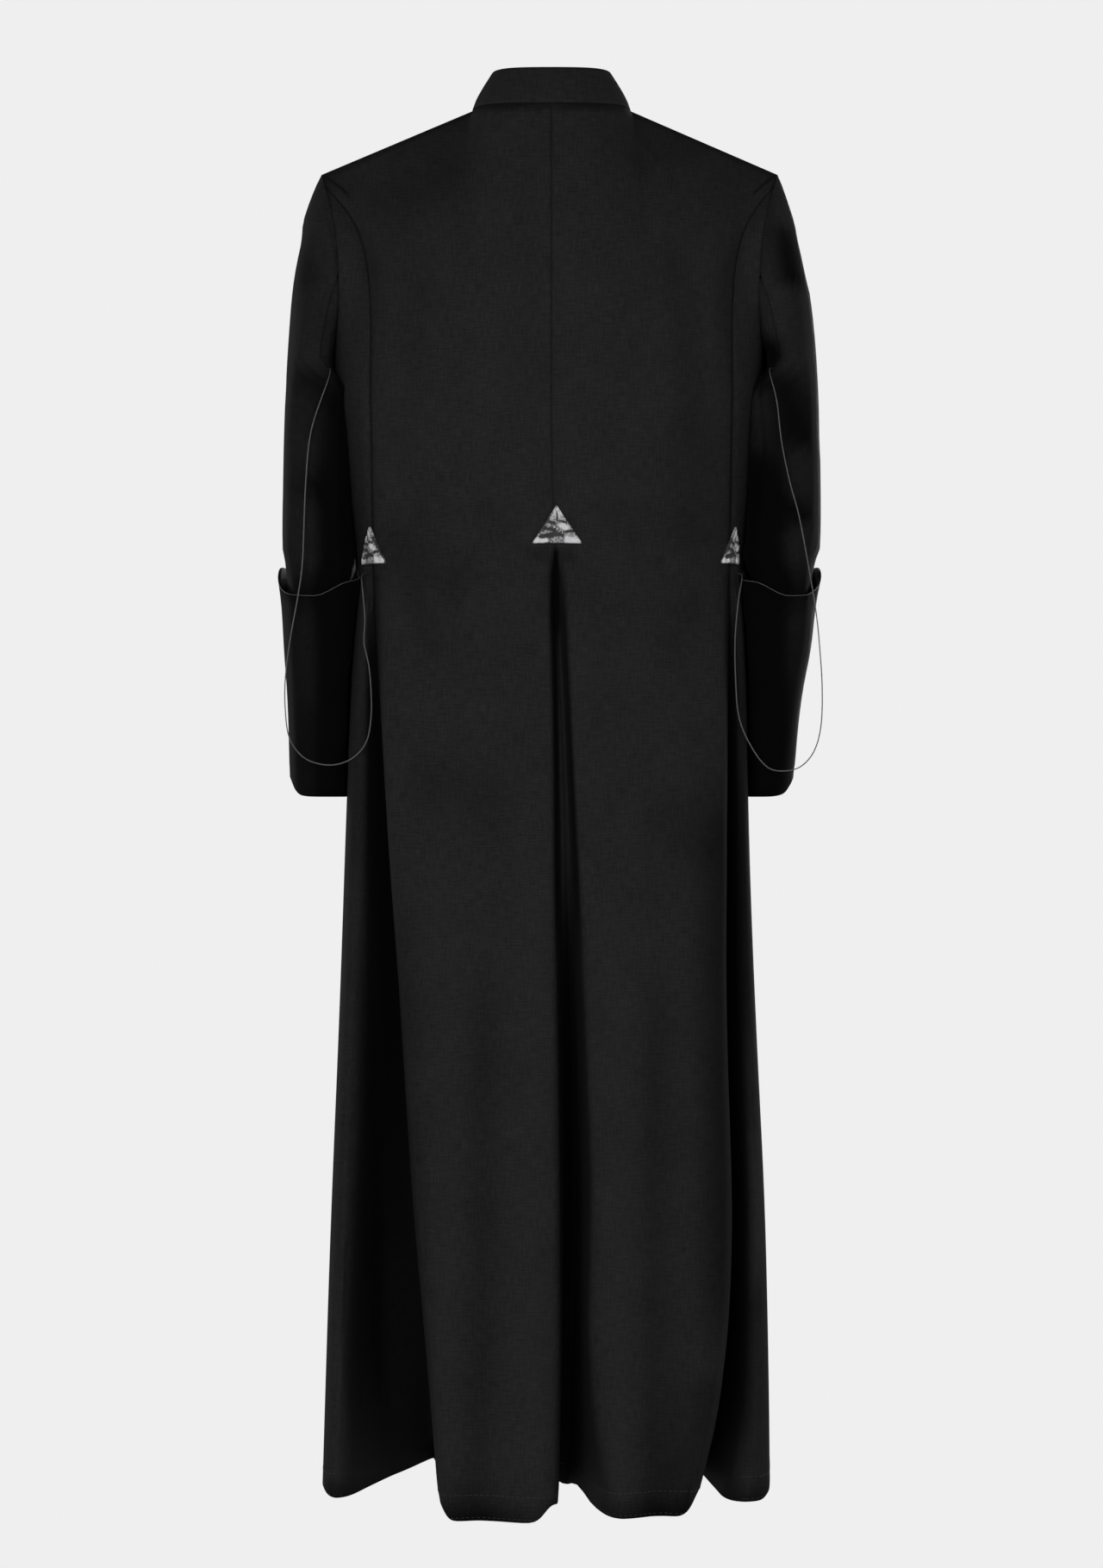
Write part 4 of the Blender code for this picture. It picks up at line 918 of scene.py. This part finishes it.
def through(points, samples):
    """Dense smooth curve that passes through every point."""
    points = [Vector(point) for point in points]
    points = [points[0] * 2 - points[1]] + points + [points[-1] * 2 - points[-2]]
    curve = []
    for p0, p1, p2, p3 in zip(points, points[1:], points[2:], points[3:]):
        for k in range(samples):
            t = k / samples
            curve.append((p1 * 2 + (p2 - p0) * t + (p0 * 2 - p1 * 5 + p2 * 4 - p3) * t**2
                          + (p1 * 3 - p0 - p2 * 3 + p3) * t**3) / 2)
    return np.array(curve + [points[-2]])


def spaced(curve, gap):
    """Points at even steps of about one gap along a dense curve."""
    lengths = np.concatenate([[0], np.cumsum(np.linalg.norm(np.diff(curve, axis=0), axis=1))])
    wanted = np.linspace(0, lengths[-1], max(2, round(lengths[-1] / gap)) + 1)
    return np.stack([np.interp(wanted, lengths, curve[:, k]) for k in range(3)], axis=1), lengths[-1]


def tube_mesh(name, line, radius, sides=1, closed=False):
    """A round tube along a line, as a mesh."""
    data = bpy.data.curves.new(name, "CURVE")
    data.dimensions = "3D"
    data.bevel_depth = radius
    data.bevel_resolution = sides
    data.use_fill_caps = not closed
    spline = data.splines.new("POLY")
    spline.points.add(len(line) - 1)
    spline.points.foreach_set("co", np.column_stack([line, np.ones(len(line))]).ravel())
    spline.use_cyclic_u = closed
    holder = bpy.data.objects.new(name, data)
    bpy.context.scene.collection.objects.link(holder)
    graph = bpy.context.evaluated_depsgraph_get()
    graph.update()
    mesh = bpy.data.meshes.new_from_object(holder.evaluated_get(graph))
    bpy.data.objects.remove(holder, do_unlink=True)
    bpy.data.curves.remove(data)
    mesh.shade_smooth()
    return mesh


def joined(name, meshes):
    """Several meshes as one."""
    shape = bmesh.new()
    for mesh in meshes:
        shape.from_mesh(mesh)
        bpy.data.meshes.remove(mesh)
    return from_bmesh(name, shape)


def twisted_cord(name, route, material):
    """Two strands twisted round one route."""
    path, length = spaced(through(route, CURVE_SAMPLES), TWIST_PITCH / TWIST_STEPS)
    along = np.gradient(path, axis=0)
    along /= np.linalg.norm(along, axis=1, keepdims=True)
    side = np.cross(along[0], (0.0, 0.0, 1.0))
    sides = []
    for way in along:
        side = side - way * (side @ way)
        side = side / np.linalg.norm(side)
        sides.append(side)
    sides = np.array(sides)
    ups = np.cross(along, sides)
    angle = np.arange(len(path)) * (length / (len(path) - 1)) * 2 * math.pi / TWIST_PITCH
    strands = []
    for start in (0.0, math.pi):
        turn = (angle + start)[:, None]
        line = path + (sides * np.cos(turn) + ups * np.sin(turn)) * STRAND_OFFSET
        strands.append(tube_mesh(name, line, STRAND_RADIUS))
    mesh = joined(name + "_twist", strands)
    mesh.shade_smooth()
    points = coordinates(mesh)
    # Painted shade that darkens the cord towards both of its ends
    ends = [np.exp(-(np.linalg.norm(points - end, axis=1) / CORD_END) ** 2) for end in (path[0], path[-1])]
    set_hollow(mesh, np.minimum(ends[0] + ends[1], 1.0))
    cord = piece(name + "_twist", mesh, material)
    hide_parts(name)


def trees_of(pieces):
    """One search tree of several pieces' faces."""
    points, faces = [], []
    for obj in pieces:
        start = len(points)
        points += [tuple(vert.co) for vert in obj.data.vertices]
        faces += [tuple(start + index for index in face.vertices) for face in obj.data.polygons]
    return BVHTree.FromPolygons(points, faces)


def grain_mesh():
    """One short round stitch of unit size along Z."""
    shape = bmesh.new()
    bmesh.ops.create_uvsphere(shape, u_segments=6, v_segments=4, radius=1.0)
    return from_bmesh("grain", shape)


def bead(shape, grain, centre, along, out, length, radius):
    """One stitch: a short round grain lying along the cloth."""
    across = along.cross(out).normalized()
    size = Matrix((across * radius, out * radius, along * (length / 2))).transposed()
    stitch = grain.copy()
    stitch.transform(Matrix.Translation(centre) @ size.to_4x4())
    shape.from_mesh(stitch)
    bpy.data.meshes.remove(stitch)


def hem_line(tree, z, gap):
    """Points and outward normals round the hem, where it shows from outside."""
    stitches, travelled, last = [], 0.0, None
    for turn in np.linspace(0, 2 * math.pi, HEM_PLACES):
        out = Vector((math.sin(turn) / BODY_HALF_WIDTH, -math.cos(turn) / BODY_HALF_DEPTH, 0)).normalized()
        seat = Vector((HEM_HALF_WIDTH * math.sin(turn), -HEM_HALF_DEPTH * math.cos(turn), z))
        hit, normal, _, _ = tree.ray_cast(seat + out * HEM_REACH, -out)
        if hit is None:
            last = None
            continue
        if last is not None:
            step = (hit - last).length
            if step > STITCH_JUMP:
                last = hit
                continue
            travelled += step
            if travelled >= gap:
                stitches.append((hit, (hit - last).normalized(), normal))
                travelled -= gap
        last = hit
    return stitches


def stitched_hem(tree, material):
    """Two rows of small stitches that show round the hem."""
    shape, grain = bmesh.new(), grain_mesh()
    for rise in STITCH_RISES:
        for hit, along, normal in hem_line(tree, HEM_Z + rise, STITCH_PITCH):
            bead(shape, grain, hit + normal * STITCH_LIFT, along, normal, STITCH_LENGTH, STITCH_RADIUS)
    mesh = from_bmesh("hem_stitches", shape)
    mesh.shade_smooth()
    piece("hem_stitches", mesh, material)


def crushed(u, v, half, height):
    """How far the creases and bulges of an arrowhead lift each place on it."""
    lift = np.zeros(len(u))
    for fold in CRUSHES:
        start = np.array([fold.u * half, fold.v * height])
        line = np.array([fold.to_u * half, fold.to_v * height]) - start
        flat = np.stack([u, v], axis=1) - start
        along = np.clip(flat @ line / (line @ line), 0, 1)
        away = np.linalg.norm(flat - along[:, None] * line, axis=1)
        lift += fold.lift * np.exp(-(away / fold.width) ** 2)
    return lift


def arrowhead_piece(node, material, arrow):
    """Satin arrowhead: crushed folds on a stitched triangle with a raised rim, with painted shade in its
    creases and painted highlight on its bulges.
    """
    mesh, _ = smoothed(node + "_satin", merged_copy(node), ARROW_SMOOTHING, rim_angle=ARROW_RIM_ANGLE)
    points = coordinates(mesh)
    low, high = points.min(axis=0), points.max(axis=0)
    base = points[points[:, 2] < low[2] + ARROW_BASE]
    left, right = base[base[:, 0].argmin()], base[base[:, 0].argmax()]
    middle = (left + right) / 2
    way = (right - left) * np.array([1.0, 1.0, 0.0])
    half = np.linalg.norm(way) / 2
    way = way / np.linalg.norm(way)
    out = np.cross(way, (0.0, 0.0, 1.0))
    u = (points - middle) @ way
    v = points[:, 2] - low[2]
    height = high[2] - low[2]
    spread = np.maximum(half * (1 - v / height), ARROW_TIP)
    inside = np.clip(1 - np.abs(u) / spread, 0.0, 1.0)
    rim = np.minimum(inside * spread, np.minimum(v, ARROW_FAR))
    raised = ARROW_RIM_LIFT * np.exp(-((rim - ARROW_RIM_PLACE) / ARROW_RIM_WIDTH) ** 2)
    wave = np.sin(u / ARROW_FAN_PITCH + 2.2 * np.sin(v / ARROW_FAN_WAVE))
    crush = crushed(u, v, half, height)
    satin_lift = raised + ARROW_FAN_LIFT * wave * smooth_step(*FAN_BAND, rim)
    lift = np.where(inside > 0.0, satin_lift + crush * smooth_step(*CRUSH_BAND, rim), 0.0)
    lift = np.maximum(lift, ARROW_DEEPEST)
    across = u * (arrow.squeeze - 1) + arrow.shift + arrow.lean * v / height
    points = points + out * lift[:, None] + way * across[:, None]
    points[:, 2] += arrow.rise
    mesh.vertices.foreach_set("co", points.ravel())
    mesh.update()
    # Painted shade in the creases and darker along the outer edge, painted highlight on the bulges and
    # lighter towards the tip.
    dark = np.clip(-crush / CREASE_DEPTH, 0, 1) * 0.92 + np.exp(-(rim / ARROW_EDGE_WIDTH) ** 2) * 0.5
    dark -= np.clip(crush / BULGE_HEIGHT, 0, 1) * 0.9 + 0.6 * smooth_step(*TIP_BAND, v / height)
    set_hollow(mesh, np.clip(dark, -1, 0.95))
    layer = mesh.uv_layers.new(name="cloth")
    corners = np.empty(len(mesh.loops), dtype=np.int64)
    mesh.loops.foreach_get("vertex_index", corners)
    layer.data.foreach_set("uv", np.stack([u, v], axis=1)[corners].ravel())
    mesh.shade_smooth()
    patch = piece(node + "_satin", mesh, material)
    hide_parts(node)


def button_mesh(name, place, out):
    """A covered button at its place, with its top turned outward."""
    shape = bmesh.new()
    rim = [shape.verts.new((radius, 0.0, height)) for radius, height in BUTTON_PROFILE]
    edges = [shape.edges.new(pair) for pair in zip(rim, rim[1:])]
    bmesh.ops.spin(shape, geom=rim + edges, cent=(0, 0, 0), axis=(0, 0, 1), angle=2 * math.pi,
                   steps=BUTTON_SPIN_STEPS, use_merge=True)
    bmesh.ops.remove_doubles(shape, verts=shape.verts, dist=MERGE)
    bmesh.ops.recalc_face_normals(shape, faces=shape.faces)
    turn = Vector((0, 0, 1)).rotation_difference(out).to_matrix()
    bmesh.ops.rotate(shape, verts=shape.verts, matrix=turn)
    bmesh.ops.translate(shape, verts=shape.verts, vec=place)
    mesh = from_bmesh(name, shape)
    lay_weave(mesh)
    mesh.shade_smooth()
    return mesh


def buttonhole_ring(middle, slope, out):
    """The worked edge of one buttonhole, an oval laid on the cloth."""
    oval = []
    for k in range(BUTTONHOLE_POINTS):
        angle = 2 * math.pi * k / BUTTONHOLE_POINTS
        spot = middle + Vector((math.cos(angle) * BUTTONHOLE_HALF_LENGTH, 0, 0))
        spot += slope * math.sin(angle) * BUTTONHOLE_HALF_WIDTH + out * BUTTONHOLE_LIFT
        oval.append(tuple(spot))
    return tube_mesh("buttonhole", np.array(oval), BUTTONHOLE_CORD, sides=0, closed=True)


def button_pieces(material, thread, tree):
    """Covered buttons and the worked buttonholes beside them."""
    names = sorted(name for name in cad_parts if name.startswith("button_"))
    seats = []
    for name in names:
        low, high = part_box(name)
        seats.append(Vector([(a + b) / 2 for a, b in zip(low, high)]))
    holes = bmesh.new()
    for index, name in enumerate(names):
        before, after = seats[max(index - 1, 0)], seats[min(index + 1, len(seats) - 1)]
        slope = (before - after).normalized()
        out = Vector((1, 0, 0)).cross(slope)
        if out.y < 0:
            out = -out
        seated, _, _, _ = tree.ray_cast(seats[index] + out * BUTTON_REACH, -out)
        place = seated + out * BUTTON_SEAT if seated else seats[index]
        cover = piece(name + "_cover", button_mesh(name + "_cover", place, out), material)
        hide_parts(name)
        seat = seats[index] + Vector((BUTTONHOLE_SHIFT, BUTTONHOLE_REACH, 0))
        hit, _, _, _ = tree.ray_cast(seat, Vector((0, -1, 0)))
        if hit is not None:
            ring = buttonhole_ring(hit, slope, out)
            holes.from_mesh(ring)
            bpy.data.meshes.remove(ring)
    mesh = from_bmesh("buttonholes", holes)
    mesh.shade_smooth()
    piece("buttonholes", mesh, thread)


def rounded(line):
    """A line with a point added on each stretch and its corners eased, as the cloth's edges are."""
    eased = line.copy()
    eased[1:-1] = (line[:-2] + line[1:-1] * 6 + line[2:]) / 8
    finer = np.empty((len(line) * 2 - 1, 3))
    finer[0::2] = eased
    finer[1::2] = (line[:-1] + line[1:]) / 2
    return finer


def walked(start, links):
    """Points met on the way along linked points from one of them."""
    path, seen = [start], {start}
    while True:
        ahead = [other for other in links[path[-1]] if other not in seen]
        if not ahead:
            return path
        path.append(ahead[0])
        seen.add(ahead[0])


def cuff_edge_highlight(node, material):
    """A painted highlight along a cuff's pressed upper edge: a thin lighter tube on the fold, kept to the
    part that faces the back.
    """
    shape = merged_copy(node)
    links = {}
    for edge in sharp_edges(shape, RIM_ANGLE):
        first, last = edge.verts
        step = last.co - first.co
        if min(first.co.z, last.co.z) > CUFF_EDGE_Z and abs(step.z) < CUFF_EDGE_SLOPE * step.length:
            links.setdefault(first.index, []).append(last.index)
            links.setdefault(last.index, []).append(first.index)
    shape.verts.ensure_lookup_table()
    ends = [index for index, others in links.items() if len(others) == 1]
    paths = [walked(index, links) for index in ends or list(links)]
    lines = [np.array([tuple(shape.verts[index].co) for index in path]) for path in paths]
    shape.free()
    line = max(lines, key=lambda points: np.linalg.norm(np.diff(points, axis=0), axis=1).sum())
    line = rounded(rounded(line))
    line, _ = folded_sleeve(line[line[:, 1] < CUFF_EDGE_Y])
    line[:, 2] += CUFF_EDGE_LIFT
    mesh = tube_mesh(node + "_fold", line, CUFF_EDGE_RADIUS, sides=2)
    piece(node + "_fold", mesh, material)


def studio():
    """Camera, lights, background and floor."""
    scene = bpy.context.scene
    scene.view_settings.view_transform = "Standard"
    scene.view_settings.look = "None"
    camera = bpy.data.cameras.new("camera")
    camera.lens = LENS
    camera.sensor_width = SENSOR
    holder = bpy.data.objects.new("camera", camera)
    holder.location = (0.0, -CAMERA_DISTANCE, CAMERA_Z)
    holder.rotation_euler = (math.pi / 2, 0.0, 0.0)
    scene.collection.objects.link(holder)
    scene.camera = holder

    Lamp = namedtuple("Lamp", "name x y z size watts")
    for lamp in (
        Lamp("key", -0.9, -4.4, 0.1, 2.0, 150.0),
        Lamp("fill", 1.5, -4.2, -1.0, 2.0, 50.0),
        Lamp("left_side", -4.2, -0.3, -0.2, 1.6, 14.0),
        Lamp("right_side", 4.2, -0.3, -0.2, 1.6, 12.0),
        Lamp("left_front", -3.6, 2.8, 0.1, 1.8, 70.0),
        Lamp("right_front", 3.6, 2.8, 0.1, 1.8, 70.0),
        Lamp("front", 0.9, 4.4, 0.3, 2.0, 150.0),
    ):
        data = bpy.data.lights.new(lamp.name, "AREA")
        data.size = lamp.size
        data.energy = lamp.watts
        light = bpy.data.objects.new(lamp.name, data)
        light.location = (lamp.x, lamp.y, lamp.z)
        aim = Vector((0.0, 0.0, -0.68)) - light.location
        light.rotation_euler = aim.to_track_quat("-Z", "Y").to_euler()
        light.visible_camera = False
        scene.collection.objects.link(light)

    world = bpy.data.worlds.new("studio")
    scene.world = world
    world.use_nodes = True
    tree = world.node_tree
    tree.nodes.clear()
    seen = tree.nodes.new("ShaderNodeBackground")
    seen.inputs["Color"].default_value = (BACKGROUND, BACKGROUND, BACKGROUND, 1.0)
    around = tree.nodes.new("ShaderNodeBackground")
    around.inputs["Color"].default_value = (1.0, 1.0, 1.0, 1.0)
    around.inputs["Strength"].default_value = STUDIO_AMBIENT
    path = tree.nodes.new("ShaderNodeLightPath")
    mix = tree.nodes.new("ShaderNodeMixShader")
    out = tree.nodes.new("ShaderNodeOutputWorld")
    tree.links.new(path.outputs["Is Camera Ray"], mix.inputs[0])
    tree.links.new(around.outputs[0], mix.inputs[1])
    tree.links.new(seen.outputs[0], mix.inputs[2])
    tree.links.new(mix.outputs[0], out.inputs["Surface"])

    floor_shape = bmesh.new()
    bmesh.ops.create_circle(floor_shape, cap_ends=True, segments=96, radius=FLOOR_RADIUS)
    bmesh.ops.translate(floor_shape, verts=floor_shape.verts, vec=(0, 0, FLOOR_Z))
    mesh = from_bmesh("floor", floor_shape)
    paint = Finish("pale_floor")
    paint.set(Base_Color=(0.0, 0.0, 0.0, 1.0), Roughness=1.0, Specular_IOR_Level=0.0,
              Emission_Color=(BACKGROUND, BACKGROUND, BACKGROUND, 1.0), Emission_Strength=1.0)
    path = paint.node("ShaderNodeLightPath")
    matt = {"Color": (FLOOR_COLOUR, FLOOR_COLOUR, FLOOR_COLOUR, 1.0)}
    dim = paint.node("ShaderNodeBsdfDiffuse", None, matt)
    mix = paint.node("ShaderNodeMixShader", None, {0: paint.wire(path, "Is Camera Ray")})
    paint.tree.links.new(dim.outputs[0], mix.inputs[1])
    paint.tree.links.new(paint.shader.outputs[0], mix.inputs[2])
    paint.tree.links.new(mix.outputs[0], paint.tree.nodes["Material Output"].inputs["Surface"])
    mesh.materials.append(paint.material)
    floor = bpy.data.objects.new("floor", mesh)
    scene.collection.objects.link(floor)


# Each panel: the rectangle that it is cut from in metres, how it hangs and on what, how it is folded,
# which way is out of it, and how deep its seams dip
Panel = namedtuple("Panel", "width length held rests_on shaped out pinched")
PANELS = {
    "back": Panel(0.46, 1.46, "draped", "collar", folded_body, body_out, 1.0),
    "side": Panel(0.46, 1.30, "draped", "collar", folded_side, body_out, 1.0),
    "front": Panel(0.44, 1.44, "draped", "collar", folded_body, body_out, 1.0),
    "sleeve_upper": Panel(0.32, 0.68, "draped", "back_{}", folded_sleeve, sleeve_out, SLEEVE_PINCH),
    "sleeve_under": Panel(0.22, 0.56, "draped", "back_{}", folded_sleeve, sleeve_out, SLEEVE_PINCH),
    "cuff": Panel(0.42, 0.30, "folded", "sleeve_upper_{}", folded_sleeve, sleeve_out, 0.0),
    "collar": Panel(0.50, 0.06, "stretched", "back_left", unfolded, body_out, 0.0),
}
PAIRED = ("back", "side", "front", "sleeve_upper", "sleeve_under", "cuff")
BODY_PANELS = ("back", "side", "front")

studio()
black_wool = wool_finish("black_wool_weave", (0.0066, 0.0066, 0.0067), (0.0196, 0.0196, 0.0200))
cover_wool = wool_finish("button_cover_wool", (0.0070, 0.0070, 0.0072), (0.0210, 0.0210, 0.0215))
satin = satin_finish()
cord_grey = plain_finish("grey_twist", (0.10, 0.10, 0.104), 0.5)
dark_thread = plain_finish("dark_thread", (0.030, 0.030, 0.031), 0.55)
# Painted highlight: the lighter colour of the thin tube along each cuff's fold
cuff_highlight = plain_finish("pressed_fold", (0.062, 0.062, 0.064), 0.5)

twisted_cord("fascia_cord_left", LEFT_CORD, cord_grey)
twisted_cord("fascia_cord_right", RIGHT_CORD, cord_grey)

sleeve_rooms = {side: sleeve_room(side) for side in ("left", "right")}
cloths = {}
for side in ("left", "right"):
    for panel in PAIRED:
        panel_cloth(f"{panel}_{side}", PANELS[panel], black_wool)
    cuff_edge_highlight(f"cuff_{side}", cuff_highlight)
panel_cloth("collar", PANELS["collar"], black_wool)

close_seams(cloths)
deepen(cloths)
garment = trees_of([cloth for node, (cloth, _, _) in cloths.items() if kind(node) in BODY_PANELS])
stitched_hem(garment, dark_thread)
button_pieces(cover_wool, dark_thread, garment)
for place, arrow in ARROWHEADS.items():
    arrowhead_piece(f"arrowhead_{place}", satin, arrow)
